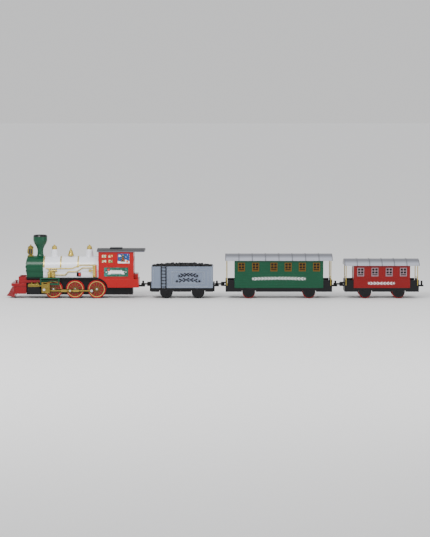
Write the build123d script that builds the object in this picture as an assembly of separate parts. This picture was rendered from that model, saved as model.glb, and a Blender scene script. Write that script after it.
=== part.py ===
from build123d import *
from math import cos, radians, sin
import os

# A battery toy train: a six-coupled locomotive, a coal tender and two four-wheeled coaches, hitched in line.
# The train stands on its wheels on the plane Z = 0. It faces -X, its left side is -Y, and the origin is on
# the floor under the middle of its length. Lengths are in millimetres. Inside this file x runs from the tip
# of the pilot towards the rear, and every piece is shifted to the origin when it is written.

# ---- fits and walls shared by every vehicle
wall = 1.6                  # moulded shells
peg_gap = 0.1               # radial clearance of a fixed peg in its hole
run_gap = 0.06              # radial clearance of a turning shaft in its bearing
pass_gap = 0.5              # gap between pieces that move past each other
seat_gap = 0.15             # gap round a piece that drops into an opening

# ---- wheels and track
back_to_back = 35.0         # between the inner faces of a wheel pair
wheel_width = 4.5
flange_height = 1.2
flange_width = 1.2
driver_radius = 16.7        # over the flange
wagon_wheel_radius = 11.5
driver_axle_radius = 1.5
wagon_axle_radius = 1.25

# ---- locomotive, lengthwise
pilot_length = 17.0
front_deck_length = 25.0    # from the pilot to the smokebox
smokebox_length = 29.0
boiler_length = 99.5
cab_length = 63.0
footplate_length = 9.2      # behind the cab's rear wall
wheelbase_step = 38.8       # between neighbouring driving axles
cab_to_rear_axle = -3.2     # rear driving axle, from the cab's front wall

# ---- locomotive, across and upwards
chassis_half = 16.5
running_board_half = 24.0
running_board_thick = 1.6
boiler_base = 37.4          # top of the running board
boiler_radius = 19.0
boiler_axis = 55.2
boiler_side_half = 17.0     # flat lower sides of the boiler shell
smokebox_radius = 20.0
cab_half = 26.0
cab_floor = 19.9
cab_waist = 34.4
cab_top = 83.8
cab_arch_radius = 20.3
cab_roof_half = 28.0
cab_roof_rise = 5.0
cab_roof_overhang = 19.7    # behind the cab's rear wall

# ---- side rods and motion
crank_radius = 9.5
crank_angle = 197.0         # left crank pins at rest, from -X up seen from the left: see crank_point
quartering = 90.0           # the right cranks lead by this angle
crank_pin_radius = 1.5
rod_thick = 1.8
rod_half_height = 1.8
rod_eye_radius = 3.6
screw_head_radius = 2.3
screw_head_height = 0.8

# ---- drive
gear_module = 0.6
axle_gear_teeth = 26
reduction_small_teeth = 12
reduction_large_teeth = 30
pinion_teeth = 10
gear_width = 2.5
motor_length = 21.0
motor_width = 20.0
motor_height = 15.0
motor_shaft_radius = 1.0

# ---- batteries (AA cells)
cell_radius = 7.1
cell_length = 50.5
contact_depth = 0.85        # between the end of the cells and the compartment wall

# ---- power switch, in the boiler's left side
switch_width = 7.6
switch_height = 7.2
switch_travel = 2.8

# ---- couplings
coupling_height = 23.0      # underside of the drawbars
drawbar_thick = 2.5
drawbar_centres = 10.5
drawbar_eye_radius = 3.6
hook_reach = 7.0            # from a vehicle's rear end to its hook pin
hook_pin_radius = 1.75
hook_pin_height = 7.5       # above the hook's tongue
hook_slack = 0.35           # radial play of a drawbar eye on a hook pin
clevis_reach = 5.0          # from a vehicle's front end to its drawbar pivot
clevis_pin_radius = 1.5
ear_thick = 2.0

# ---- wagons
deck_top = 19.0
post_foot = 23.5            # height of the platform posts' feet
post_inset = 2.4            # from a coach's end to its posts
post_notch = 1.5            # half the width of a post's notch
deck_thick = 2.6
sole_bar_depth = 7.0
frame_half = 22.4
guard_thick = 1.7
rim_shown = 2.0             # of each wagon wheel below its guard
balustrade_top = 33.0       # round a coach's open platforms
body_half = 24.0
tender_length = 110.5
tender_top = 57.5
tender_wheelbase = 57.0
platform_length = 16.0      # open platform at each end of a coach
green_body_length = 159.0
green_wheelbase = 108.0
green_eave = 68.0
red_body_length = 101.0
red_wheelbase = 60.0
red_eave = 59.0
roof_half = 27.0
roof_rise = 11.0
roof_fascia = 2.4
seam_half = 0.65            # half the width of a roof's seams
seam_proud = 0.5
window_width = 12.6
window_height = 15.6
window_drop = 3.5           # from the eave to a window's top
window_proud = 0.7
window_depth = 1.3          # of the blind panes

# ---- places that follow
smokebox_x = pilot_length + front_deck_length - 3.0
boiler_x = smokebox_x + smokebox_length
cab_x = boiler_x + boiler_length
cab_end = cab_x + cab_length
loco_end = cab_end + footplate_length
rear_axle_x = cab_x + cab_to_rear_axle
driver_xs = [rear_axle_x - 2 * wheelbase_step, rear_axle_x - wheelbase_step, rear_axle_x]
wheel_inner = back_to_back / 2
wheel_outer = wheel_inner + wheel_width
rod_inner = wheel_outer + 0.6
rod_outer = rod_inner + rod_thick
screw_top = rod_outer + screw_head_height
step_inner = screw_top + 0.2
step_outer = step_inner + 1.4
guide_inner = step_outer + 0.2
guide_outer = guide_inner + 2.2
chassis_top = boiler_base
chassis_floor = 8.0
chassis_inner = chassis_half - wall
coupling_gap = hook_reach + drawbar_centres + clevis_reach
tender_x = loco_end + coupling_gap
green_x = tender_x + tender_length + coupling_gap
green_length = green_body_length + 2 * platform_length
red_x = green_x + green_length + coupling_gap
red_length = red_body_length + 2 * platform_length
tongue_top = coupling_height - 0.5
guard_inner = wheel_outer + 0.4
train_length = red_x + red_length + hook_reach + hook_pin_radius + 2.0


# ---- small building blocks
def block(x0, x1, y0, y1, z0, z1):
    """A box between two corners."""
    return Pos((x0 + x1) / 2, (y0 + y1) / 2, (z0 + z1) / 2) * Box(abs(x1 - x0), abs(y1 - y0), abs(z1 - z0))


def along_x(y, z, radius, x0, x1):
    return Pos((x0 + x1) / 2, y, z) * Rot(0, 90, 0) * Cylinder(radius, abs(x1 - x0))


def along_y(x, z, radius, y0, y1):
    return Pos(x, (y0 + y1) / 2, z) * Rot(90, 0, 0) * Cylinder(radius, abs(y1 - y0))


def along_z(x, y, radius, z0, z1):
    return Pos(x, y, (z0 + z1) / 2) * Cylinder(radius, abs(z1 - z0))


def turned(x, y, outline):
    """A solid of revolution about the vertical line at x, y; outline lists (radius, z) from the axis."""
    face = make_face(Polyline(*[(r, 0, z) for r, z in outline], close=True))
    return Pos(x, y, 0) * revolve(face, Axis.Z)


def plate_xz(outline, y0, y1):
    """A flat plate with its outline in the XZ plane, from y0 to y1."""
    face = make_face(Polyline(*[(x, y0, z) for x, z in outline], close=True))
    return extrude(face, amount=abs(y1 - y0), dir=(0, 1 if y1 > y0 else -1, 0))


def mirrored(shape):
    """The same piece on the other side of the train."""
    return mirror(shape, Plane.XZ)


def both_sides(shape):
    return [shape, mirrored(shape)]


def joined(shapes):
    whole = shapes[0]
    for shape in shapes[1:]:
        whole += shape
    return whole


def cut(shape, tools):
    for tool in tools:
        shape -= tool
    return shape


def tube(points, radius):
    """A round bar along straight runs, with a ball at each corner."""
    runs = []
    for a, b in zip(points, points[1:]):
        run = Vector(*b) - Vector(*a)
        middle = (Vector(*a) + Vector(*b)) * 0.5
        runs.append(Plane(origin=middle, z_dir=run) * Cylinder(radius, run.length))
    balls = [Pos(*p) * Sphere(radius) for p in points]
    return joined(runs + balls)


def gear(teeth, x, z, y0, y1, bore, turn=0.0):
    """A spur gear about Y with straight-flanked teeth; turn is the angle of one tooth, in degrees."""
    pitch_radius = gear_module * teeth / 2
    root = pitch_radius - 1.2 * gear_module
    tip = pitch_radius + 0.9 * gear_module
    step = 360.0 / teeth
    outline = []
    for n in range(teeth):
        for share, radius in ((-0.36, root), (-0.11, tip), (0.11, tip), (0.36, root)):
            angle = radians(turn + step * (n + share))
            outline.append((x + radius * cos(angle), z + radius * sin(angle)))
    return plate_xz(outline, y0, y1) - along_y(x, z, bore, y0 - 1, y1 + 1)


def crank_point(x, side):
    """Where a crank pin stands at rest on the wheel at x; side is -1 left, +1 right."""
    angle = radians(crank_angle - (quartering if side > 0 else 0))
    return x + crank_radius * cos(angle), driver_radius + crank_radius * sin(angle)


# ---- wheels
def wheel_disc(x, radius, axle_radius, spokes):
    """One wheel on the -Y side: tread, flange, dished face with spokes, hub, and a bore for its axle."""
    tread = radius - flange_height
    disc = along_y(x, radius, radius, -wheel_inner - flange_width, -wheel_inner)
    disc += along_y(x, radius, tread, -wheel_outer, -wheel_inner)
    rim, hub = tread - 2.4, radius * 0.24
    dish = 1.3
    disc -= along_y(x, radius, rim, -wheel_outer - 1, -wheel_outer + dish)
    face = [along_y(x, radius, hub, -wheel_outer, -wheel_outer + dish + 0.5)]
    for n in range(spokes):
        bar = block(hub - 0.5, rim + 0.3, -wheel_outer + 0.4, -wheel_outer + dish + 0.3, -0.55, 0.55)
        face.append(Pos(x, 0, radius) * Rot(0, 360.0 * n / spokes, 0) * bar)
    disc = joined([disc] + face)
    disc += along_y(x, radius, axle_radius + 1.5, -wheel_inner - 1, -wheel_inner + 0.5)
    return disc - along_y(x, radius, axle_radius, -wheel_outer - 1, -wheel_inner + 1)


def driver_pair(x, pins):
    """A driving wheel pair: two wheels, their axle, and a crank pin in each wheel ('screw' or 'plain')."""
    pieces = []
    for side in (-1, 1):
        wheel = wheel_disc(x, driver_radius, driver_axle_radius, 12)
        if side > 0:
            wheel = mirrored(wheel)
        px, pz = crank_point(x, side)
        wheel += along_y(px, pz, crank_pin_radius + 1.4, side * (wheel_outer - 1.6),
                         side * (wheel_outer + 0.3))
        wheel -= along_y(px, pz, crank_pin_radius, side * (wheel_outer - 1.2), side * (wheel_outer + 1))
        pin = along_y(px, pz, crank_pin_radius, side * (wheel_outer - 1.2), side * (rod_outer + 0.15))
        if pins == "screw":
            head = along_y(px, pz, screw_head_radius, side * (rod_outer + 0.15), side * screw_top)
            head -= block(px - 3, px + 3, side * (screw_top - 0.35), side * (screw_top + 1), pz - 0.3,
                          pz + 0.3)
            pin += head
        pieces += [wheel, pin]
    axle = along_y(x, driver_radius, driver_axle_radius, -wheel_outer - 0.2, wheel_outer + 0.2)
    return Compound(pieces + [axle])


def wagon_pair(x):
    """A wagon's wheel pair: two wheels and an axle whose ends run in the guards."""
    wheel = wheel_disc(x, wagon_wheel_radius, wagon_axle_radius, 8)
    reach = frame_half + guard_thick - 0.5
    axle = along_y(x, wagon_wheel_radius, wagon_axle_radius, -reach, reach)
    return Compound([wheel, mirrored(wheel), axle])


def side_rod(side):
    """The coupling rod of one side: a flat bar with three eyes, two thick stretches and raised ribs."""
    ends = [crank_point(x, side) for x in driver_xs]
    z = ends[0][1]
    front_x, middle_x, rear_x = (p[0] for p in ends)
    back = side * rod_inner
    flat = side * (rod_outer - 0.6)
    rib = side * (rod_outer - 0.2)
    bar = block(front_x, rear_x, back, flat, z - rod_half_height, z + rod_half_height)
    bar += block(front_x, rear_x, back, rib, z - 0.9, z + 0.9)
    thick_run = 11.0
    for centre in (middle_x - thick_run, middle_x + thick_run):
        bar += block(centre - 6.4, centre + 6.4, back, flat, z - 3.0, z + 3.0)
        bar += block(centre - 5.2, centre + 5.2, back, side * rod_outer, z - 2.0, z + 2.0)
    for px, pz in ends:
        bar += along_y(px, pz, rod_eye_radius, back, flat)
        bar += along_y(px, pz, rod_eye_radius - 0.9, back, side * rod_outer)
    return cut(bar, [along_y(px, pz, crank_pin_radius + run_gap, back - side, rib + side) for px, pz in ends])


# ---- drive train
motor_y1 = chassis_inner - 2 * gear_width - 2.4
motor_y0 = motor_y1 - motor_length
large_y0 = motor_y1 + 1.0
large_y1 = large_y0 + gear_width
small_y0 = large_y1 + 0.4
small_y1 = small_y0 + gear_width
reduction_centre = gear_module * (axle_gear_teeth + reduction_small_teeth) / 2
pinion_centre = gear_module * (reduction_large_teeth + pinion_teeth) / 2
reduction_direction = 120.0     # from the axle to the reduction gear, in degrees above +X
pinion_direction = 110.0        # from the reduction gear to the pinion
reduction_x = rear_axle_x + reduction_centre * cos(radians(reduction_direction))
reduction_z = driver_radius + reduction_centre * sin(radians(reduction_direction))
motor_x = reduction_x + pinion_centre * cos(radians(pinion_direction))
motor_z = reduction_z + pinion_centre * sin(radians(pinion_direction))


def axle_gear():
    """Pressed on the rear driving axle; a tooth points at the reduction gear."""
    return gear(axle_gear_teeth, rear_axle_x, driver_radius, small_y0, small_y1, driver_axle_radius,
                reduction_direction)


def reduction_gear():
    """A double gear on a fixed pin: its small wheel meets the axle gear, its large one the pinion."""
    bore = motor_shaft_radius + run_gap
    gap_to_axle = reduction_direction + 180 + 180.0 / reduction_small_teeth
    small = gear(reduction_small_teeth, reduction_x, reduction_z, small_y0, small_y1, bore, gap_to_axle)
    large = gear(reduction_large_teeth, reduction_x, reduction_z, large_y0, large_y1, bore, pinion_direction)
    hub = along_y(reduction_x, reduction_z, 2.4, large_y0, small_y0 + 0.2)
    hub -= along_y(reduction_x, reduction_z, bore, large_y0 - 1, small_y1)
    return small + large + hub


def motor():
    """The can of a small motor, flat above and below, with its bearing boss."""
    half = motor_height / 2
    can = along_y(motor_x, motor_z, motor_width / 2, motor_y0, motor_y1)
    can &= block(motor_x - motor_width, motor_x + motor_width, motor_y0, motor_y1, motor_z - half,
                 motor_z + half)
    can += along_y(motor_x, motor_z, 3.0, motor_y1 - 0.5, motor_y1 + 0.6)
    return can - along_y(motor_x, motor_z, motor_shaft_radius + run_gap, motor_y1 - 8, motor_y1 + 2)


def motor_pinion():
    """The motor's shaft with its pinion."""
    gap_to_large = pinion_direction + 180 + 180.0 / pinion_teeth
    pinion = gear(pinion_teeth, motor_x, motor_z, large_y0, large_y1, motor_shaft_radius * 0.5, gap_to_large)
    return pinion + along_y(motor_x, motor_z, motor_shaft_radius, motor_y1 - 7, large_y1 + 0.4)


# ---- locomotive shells
def barrel_section(radius, side_half, base, x0, x1):
    """A solid barrel: a round top on flat lower sides."""
    solid = along_x(0, boiler_axis, radius, x0, x1)
    solid -= block(x0 - 1, x1 + 1, -radius - 1, radius + 1, boiler_axis - radius - 1, base)
    return solid + block(x0, x1, -side_half, side_half, base, boiler_axis)


dome_xs = [boiler_x + 19.3, boiler_x + 82.3]
bell_x = boiler_x + 48.7
band_xs = [boiler_x + 1.6, boiler_x + 31.7, boiler_x + 62.7]
chimney_x = smokebox_x + smokebox_length - 6.2
lamp_x = smokebox_x + 5.4
boiler_top = boiler_axis + boiler_radius
smokebox_top = boiler_axis + smokebox_radius
dome_base_radius = 7.5
peg_radius = 2.5
switch_x = boiler_x + 64.0
switch_z = boiler_base + 5.3
screw_radius = 1.3


def boiler_shell():
    """The white boiler: an open-bottomed shell with holes for the dome pegs and the switch."""
    shell = barrel_section(boiler_radius, boiler_side_half, boiler_base, boiler_x, cab_x - 0.1)
    shell -= barrel_section(boiler_radius - wall, boiler_side_half - wall, boiler_base - 1, boiler_x - 1,
                            cab_x + 1)
    for x in dome_xs + [bell_x]:
        shell -= along_z(x, 0, peg_radius + peg_gap, boiler_top - 4, boiler_top + 1)
    half_w, half_h = switch_width / 2 + seat_gap, switch_height / 2 + seat_gap
    shell -= block(switch_x - half_w, switch_x + half_w, -boiler_side_half - 2, -boiler_side_half + wall + 1,
                   switch_z - half_h, switch_z + half_h)
    # a raised seam near the firebox
    seam = barrel_section(boiler_radius + 0.3, boiler_side_half + 0.3, boiler_base, cab_x - 7.5, cab_x - 6.3)
    seam -= barrel_section(boiler_radius - 0.2, boiler_side_half - 0.2, boiler_base - 1, cab_x - 9, cab_x - 5)
    return shell + seam


def smokebox():
    """The green smokebox: a shell a little larger than the boiler, with a closed front wall."""
    side = boiler_side_half + 1
    shell = barrel_section(smokebox_radius, side, boiler_base - 0.9, smokebox_x, boiler_x - 0.05)
    shell -= block(smokebox_x - 1, boiler_x + 1, -30, 30, 0, boiler_base)
    shell -= barrel_section(smokebox_radius - wall, side - wall, boiler_base - 2, smokebox_x + wall,
                            boiler_x + 1)
    shell -= along_z(chimney_x, 0, 3.4 + peg_gap, smokebox_top - 5, smokebox_top + 1)
    shell -= along_z(lamp_x, 0, 1.4 + peg_gap, smokebox_top - 5, smokebox_top + 1)
    shell -= along_x(0, boiler_axis, 4.0 + peg_gap, smokebox_x - 1, smokebox_x + wall + 1)
    return shell


def smokebox_door():
    """The round door on the smokebox front: a dished disc with hinge straps, a locking wheel and a peg."""
    door = along_x(0, boiler_axis, 16.0, smokebox_x - 1.2, smokebox_x - 0.05)
    door += along_x(0, boiler_axis, 13.5, smokebox_x - 2.2, smokebox_x - 1.1)
    for dz in (-6.5, 6.5):
        door += block(smokebox_x - 2.9, smokebox_x - 2.1, -12, 7, boiler_axis + dz - 1.0,
                      boiler_axis + dz + 1.0)
    door += along_x(0, boiler_axis, 2.2, smokebox_x - 4.4, smokebox_x - 2.1)
    door += along_x(0, boiler_axis, 4.0, smokebox_x - 1, smokebox_x + wall + 1)
    return door


def chimney():
    """A balloon-topped stack: a slim neck that flares to a drum, open at the top, with a peg below."""
    base, top = smokebox_top, smokebox_top + 37.6
    outline = [(0, base - 1.2), (6.6, base - 1.2), (6.4, base + 0.6), (5.5, base + 3), (5.2, base + 8.5),
               (6.0, base + 13.5), (8.2, base + 18), (10.6, base + 22), (12.3, base + 26), (12.7, base + 28),
               (12.7, top - 2.4), (12.1, top - 0.8), (11.4, top), (10.4, top), (10.2, top - 4),
               (8.0, top - 13),
               (3.4, top - 18), (0, top - 18)]
    stack = turned(chimney_x, 0, outline)
    stack -= along_x(0, boiler_axis, smokebox_radius + 0.05, chimney_x - 20, boiler_x)
    stack -= along_x(0, boiler_axis, boiler_radius + 0.75, boiler_x - 1, boiler_x + 8)
    return stack + along_z(chimney_x, 0, 3.4, smokebox_top - 3, smokebox_top + 1.5)


def saddle_cut(shape, x, radius, reach=14):
    """Shapes the foot of a piece to sit on a barrel of that radius."""
    return shape - along_x(0, boiler_axis, radius, x - reach, x + reach)


def headlight_housing():
    """A lantern on the smokebox: foot, square case with a round lens mount in front, and a domed cap."""
    z = smokebox_top
    case = block(lamp_x - 4.3, lamp_x + 4.3, -4.6, 4.6, z + 2.4, z + 14.2)
    case += block(lamp_x - 5.0, lamp_x + 5.0, -5.2, 5.2, z - 0.8, z + 1.0)
    case += turned(lamp_x, 0, [(0, z + 0.9), (3.6, z + 0.9), (2.4, z + 2.5), (0, z + 2.5)])
    case += turned(lamp_x, 0, [(0, z + 14.1), (5.4, z + 14.1), (5.4, z + 14.9), (4.2, z + 16.6),
                               (2.6, z + 17.8),
                               (1.3, z + 18.4), (1.3, z + 20.2), (0, z + 20.2)])
    case += along_x(0, z + 8.3, 4.4, lamp_x - 5.6, lamp_x - 4.2)
    case = saddle_cut(case, lamp_x, smokebox_radius + 0.05)
    case -= along_x(0, z + 8.3, 3.6, lamp_x - 7, lamp_x - 3.6)
    case -= along_x(0, z + 8.3, 1.6, lamp_x - 4, lamp_x + 2.5)
    return case + along_z(lamp_x, 0, 1.4, z - 3, z + 1)


def headlight_lens():
    """A bulging clear lens in the lantern's mount."""
    z = smokebox_top + 8.3
    lens = along_x(0, z, 3.6 - 0.05, lamp_x - 5.6, lamp_x - 4.6)
    bulge = Pos(lamp_x - 0.2, 0, z) * Sphere(6.6)
    return lens + (bulge & along_x(0, z, 3.3, lamp_x - 8, lamp_x - 5.5))


def headlight_bulb():
    """The lamp's LED: a domed body with its collar."""
    z = smokebox_top + 8.3
    body = along_x(0, z, 1.5, lamp_x - 3.2, lamp_x + 2.4)
    return body + Pos(lamp_x - 3.2, 0, z) * Sphere(1.25)


def steam_domes():
    """Two tapered domes with pegs through the boiler."""
    domes = []
    for x in dome_xs:
        z = boiler_top
        dome = turned(x, 0, [(0, z - 1.8), (dome_base_radius, z - 1.8), (dome_base_radius, z - 0.6),
                             (6.9, z + 1.2), (6.4, z + 6), (6.0, z + 11.4), (5.4, z + 12.6), (0, z + 12.6)])
        dome = saddle_cut(dome, x, boiler_radius + 0.02)
        domes.append(dome + along_z(x, 0, peg_radius, z - 3.2, z + 1))
    return Compound(domes)


def dome_caps():
    """Gilt safety-valve caps on the domes."""
    caps = []
    for x in dome_xs:
        z = boiler_top + 12.6
        caps.append(turned(x, 0, [(0, z), (5.2, z), (5.2, z + 1.2), (4.2, z + 1.8), (4.6, z + 3.2),
                                  (4.2, z + 5.0),
                                  (2.8, z + 6.4), (1.4, z + 7.0), (1.4, z + 8.2), (0, z + 8.6)]))
    return Compound(caps)


def bell():
    """A bell on a short pillar, with a yoke on top and a peg through the boiler."""
    z = boiler_top
    shape = turned(bell_x, 0, [(0, z + 1.0), (5.9, z + 1.0), (6.0, z + 1.9), (4.9, z + 3.4), (3.9, z + 6.2),
                               (3.5, z + 9.0), (2.6, z + 10.8), (1.3, z + 11.4), (1.3, z + 12.2),
                               (0, z + 12.2)])
    shape += along_y(bell_x, z + 13.2, 1.5, -2.4, 2.4)
    shape += along_z(bell_x, 0, peg_radius, z - 3.0, z + 1.5)
    return shape


def boiler_bands():
    """Three half hoops that lie on the boiler."""
    bands = []
    for x in band_xs:
        ring = along_x(0, boiler_axis, boiler_radius + 0.55, x - 1.2, x + 1.2)
        ring -= along_x(0, boiler_axis, boiler_radius + 0.02, x - 2, x + 2)
        ring -= block(x - 2, x + 2, -30, 30, boiler_axis - 30, boiler_axis + 0.3)
        bands.append(ring)
    return Compound(bands)


def barrel_y(z, stand=0.0):
    """How far the boiler's side lies from the middle plane at a height, plus a stand-off."""
    dz = z - boiler_axis
    round_half = (max(boiler_radius ** 2 - dz ** 2, 0)) ** 0.5
    return (max(round_half, boiler_side_half) if dz < 0 else round_half) + stand


def pipework():
    """The left side's gilt moulding: hand rail, feed pipe, air pump, valve stand and a stop valve."""
    bar = 0.95
    high, low = boiler_base + 16.2, boiler_base + 4.5
    rise, mid = boiler_base + 22.5, boiler_base + 10.2
    drop = boiler_base + 17.3
    stand_x = boiler_x + 89.5
    rail = [(boiler_x + 5.5, high), (boiler_x + 51.5, high), (boiler_x + 67.5, rise), (stand_x, rise)]
    feed = [(boiler_x + 21, low), (boiler_x + 39.5, low), (boiler_x + 45.5, mid), (boiler_x + 60, mid),
            (boiler_x + 71, drop), (stand_x, drop)]
    out = bar + 0.05
    gilt = tube([(x, -barrel_y(z, out), z) for x, z in rail], bar)
    gilt += tube([(x, -barrel_y(z, out), z) for x, z in feed], bar)
    # air pump: two short cylinders with flanges on a back plate
    pump_x = boiler_x + 14.5
    face = boiler_side_half + 0.05
    gilt += block(pump_x - 6.6, pump_x + 7.2, -face - 1.6, -face, boiler_base + 0.4, boiler_base + 9.6)
    for dx in (-3.4, 3.4):
        gilt += along_z(pump_x + dx, -face - 2.4, 2.5, boiler_base + 0.3, boiler_base + 9.4)
        for dz in (0.4, 3.4, 6.2, 8.8):
            gilt += along_z(pump_x + dx, -face - 2.4, 3.1, boiler_base + dz, boiler_base + dz + 0.9)
    gilt += along_z(pump_x - 3.0, -barrel_y(high, out), 1.5, boiler_base + 8.8, high)
    gilt += along_x(-face - 2.0, boiler_base + 12.4, 1.9, pump_x + 0.6, pump_x + 10.6)
    gilt += block(pump_x - 3, pump_x + 2, -face - 2.4, -face, boiler_base + 9, boiler_base + 13.2)
    # valve stand: two uprights with rungs
    back = barrel_y(rise, 0.05)
    foot = boiler_base + 0.8
    gilt += block(stand_x - 0.4, stand_x + 4.6, -back - 1.2, -face, foot, rise + 1.0)
    for dx in (0.2, 4.0):
        gilt += block(stand_x + dx - 0.6, stand_x + dx + 0.6, -back - 2.2, -back - 1.1, foot, rise + 1.0)
    for n in range(7):
        z = foot + 1.5 + n * (rise - foot - 2.0) / 6.4
        gilt += block(stand_x - 0.4, stand_x + 4.6, -back - 1.9, -back - 1.1, z - 0.5, z + 0.5)
    # stop valve with its hand wheel
    valve_x, valve_z = stand_x - 5.2, boiler_base + 12.4
    gilt += along_y(valve_x, valve_z, 1.3, -barrel_y(valve_z, 3.0), -barrel_y(valve_z, 0.05))
    gilt += along_y(valve_x, valve_z, 2.6, -barrel_y(valve_z, 3.0), -barrel_y(valve_z, 2.2))
    gilt += block(valve_x, stand_x + 0.4, -barrel_y(valve_z, 1.6), -barrel_y(valve_z, 0.05),
                  valve_z - 0.8, valve_z + 0.8)
    gilt -= barrel_section(boiler_radius + 0.04, boiler_side_half + 0.04, boiler_base - 3, boiler_x - 1,
                           cab_x + 1)
    for x in band_xs:
        gilt -= along_x(0, boiler_axis, boiler_radius + 0.62, x - 1.3, x + 1.3) & block(
            x - 2, x + 2, -30, 30, boiler_axis + 0.2, boiler_axis + 30)
    gilt -= seam_clearance()
    return gilt


def seam_clearance():
    """The room round the boiler's firebox seam."""
    return barrel_section(boiler_radius + 0.36, boiler_side_half + 0.36, boiler_base - 1, cab_x - 7.6,
                          cab_x - 6.2)


def right_pipework():
    """The same moulding on the right, where there is no switch."""
    return mirrored(pipework())


# ---- locomotive lower works
cylinder_x = smokebox_x + 3.0
cylinder_length = 21.0
cylinder_half = 25.2
cylinder_top = 21.0
cylinder_floor = 8.8
guide_x = boiler_x - 2.0
guide_length = 14.5
battery_length = cell_length + 2 * contact_depth
battery_x = cab_end - wall - 0.4 - wall - battery_length
battery_top = chassis_floor + 4 * cell_radius + 1.4


def chassis():
    """The black chassis: an open-bottomed trough with running board, cylinder blocks, hook and motor seat."""
    x0, x1 = smokebox_x - 1.0, battery_x + battery_length + wall
    tray = block(x0, x1, -chassis_half, chassis_half, chassis_floor, chassis_top)
    tray += block(battery_x - wall, x1, -chassis_half, chassis_half, chassis_floor, battery_top + wall)
    tray -= block(x0 + wall, battery_x - wall, -chassis_inner, chassis_inner, 0,
                  chassis_top - running_board_thick)
    tray -= block(battery_x, x1 - wall, -chassis_inner, chassis_inner, 0, battery_top)
    board = block(smokebox_x, cab_x - 0.1, -running_board_half, running_board_half,
                  chassis_top - running_board_thick, chassis_top)
    tray += board
    # opening for the motor, and its seat
    mx0, mx1 = motor_x - motor_width / 2 - seat_gap, motor_x + motor_width / 2 + seat_gap
    my0, my1 = motor_y0 - seat_gap, small_y1 + 0.6
    tray -= block(mx0, mx1, my0, my1, chassis_top - running_board_thick - 1, chassis_top + 1)
    for x in (mx0 - wall, mx1):
        tray += block(x, x + wall, my0, motor_y1 - 1, chassis_top - 9, chassis_top - 0.5)
    tray -= block(mx0 - wall - 1, mx1 + wall + 1, large_y0 - 0.5, my1, chassis_top - running_board_thick - 1,
                  chassis_top + 1)
    # fixed pin of the reduction gear
    tray += along_y(reduction_x, reduction_z, motor_shaft_radius, large_y0 - 0.2, chassis_half - 0.2)
    tray += along_y(reduction_x, reduction_z, 2.2, small_y1 + 0.15, chassis_inner + 0.2)
    # bearings of the three axles
    for x in driver_xs:
        for side in (-1, 1):
            tray += along_y(x, driver_radius, 3.6, side * (chassis_inner - 0.4), side * (chassis_half + 0.4))
        tray -= along_y(x, driver_radius, driver_axle_radius + run_gap, -wheel_inner, wheel_inner)
    # splashers behind the rear wheels
    for side in (-1, 1):
        ring = along_y(rear_axle_x, driver_radius, cab_arch_radius - 0.4,
                       side * (chassis_half - 0.5), side * (wheel_outer + 1.2))
        ring -= along_y(rear_axle_x, driver_radius, driver_radius + 1.6, side * 10, side * (wheel_outer + 2))
        ring &= block(rear_axle_x, rear_axle_x + 30, side * 10, side * 30, driver_radius + 2, chassis_top)
        tray += ring
    # cylinder blocks
    for side in (-1, 1):
        tray += block(cylinder_x, cylinder_x + cylinder_length, side * (chassis_half - 0.5),
                      side * cylinder_half,
                      cylinder_floor, cylinder_top)
        tray += along_x(side * (cylinder_half - 4.6), (cylinder_floor + cylinder_top) / 2, 4.4,
                        cylinder_x - 1.2, cylinder_x + cylinder_length + 1.2)
    # hook
    tray += block(x1 - 0.5, loco_end + hook_reach, -3.6, 3.6, tongue_top - 3.0, tongue_top)
    tray += along_z(loco_end + hook_reach, 0, 3.6, tongue_top - 3.0, tongue_top)
    tray += along_z(loco_end + hook_reach, 0, hook_pin_radius, tongue_top - 0.5, tongue_top + hook_pin_height)
    # screw bosses for the underside cover
    for x, y in cover_screws():
        tray += along_z(x, y, 2.6, chassis_floor, chassis_top - running_board_thick + 0.3)
        tray -= along_z(x, y, screw_radius * 0.8, chassis_floor - 1, chassis_floor + 9)
    # seat of the pilot
    tray -= block(x0 - 1, x0 + wall + 0.1, -9, 9, chassis_floor + 4, chassis_top - 6)
    return tray


def cover_screws():
    """Centres of the underside cover's screws."""
    middle = (driver_xs[0] + driver_xs[1]) / 2
    motor_front = motor_x - motor_width / 2
    return [(smokebox_x + 14, 0), (middle, -9), (middle, 9), (motor_front - 4.5, -9)]


def underside_cover():
    """A flat plate that closes the trough ahead of the batteries, lipped inside it."""
    x0, x1 = smokebox_x - 1.0, battery_x - wall
    cover = block(x0, x1, -chassis_half, chassis_half, chassis_floor - 1.4, chassis_floor - 0.05)
    for y in (-chassis_inner + 0.2, chassis_inner - 1.4):
        cover += block(x0 + wall + 0.2, driver_xs[0] - 6, y, y + 1.2, chassis_floor - 0.3,
                       chassis_floor + 1.6)
    for n in range(5):
        x = driver_xs[0] + 10 + n * 4.2
        cover -= block(x, x + 1.6, -6, 6, chassis_floor - 3, chassis_floor + 1)
    for x, y in cover_screws():
        cover -= along_z(x, y, screw_radius + 0.15, chassis_floor - 3, chassis_floor + 3)
        cover -= along_z(x, y, 2.5, chassis_floor - 3, chassis_floor - 0.7)
    return cover


def battery_cover():
    """The battery door under the cab: a plate with a finger rib, a front tongue and a screw at the rear."""
    x0, x1 = battery_x - wall + 0.3, battery_x + battery_length + wall
    door = block(x0, x1, -chassis_half, chassis_half, chassis_floor - 1.6, chassis_floor - 0.05)
    door += block(battery_x + 0.3, battery_x + battery_length - 0.3, -chassis_inner + 0.3,
                  chassis_inner - 0.3,
                  chassis_floor - 0.3, chassis_floor + 0.5)
    for n in range(6):
        x = battery_x + 30 + n * 2.6
        door += block(x, x + 1.1, -7, 7, chassis_floor - 2.2, chassis_floor - 1.5)
    door -= along_z(x1 - 4.2, 0, screw_radius + 0.15, 0, chassis_floor + 3)
    return door - along_z(x1 - 4.2, 0, 2.5, 0, chassis_floor - 0.9)


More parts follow.
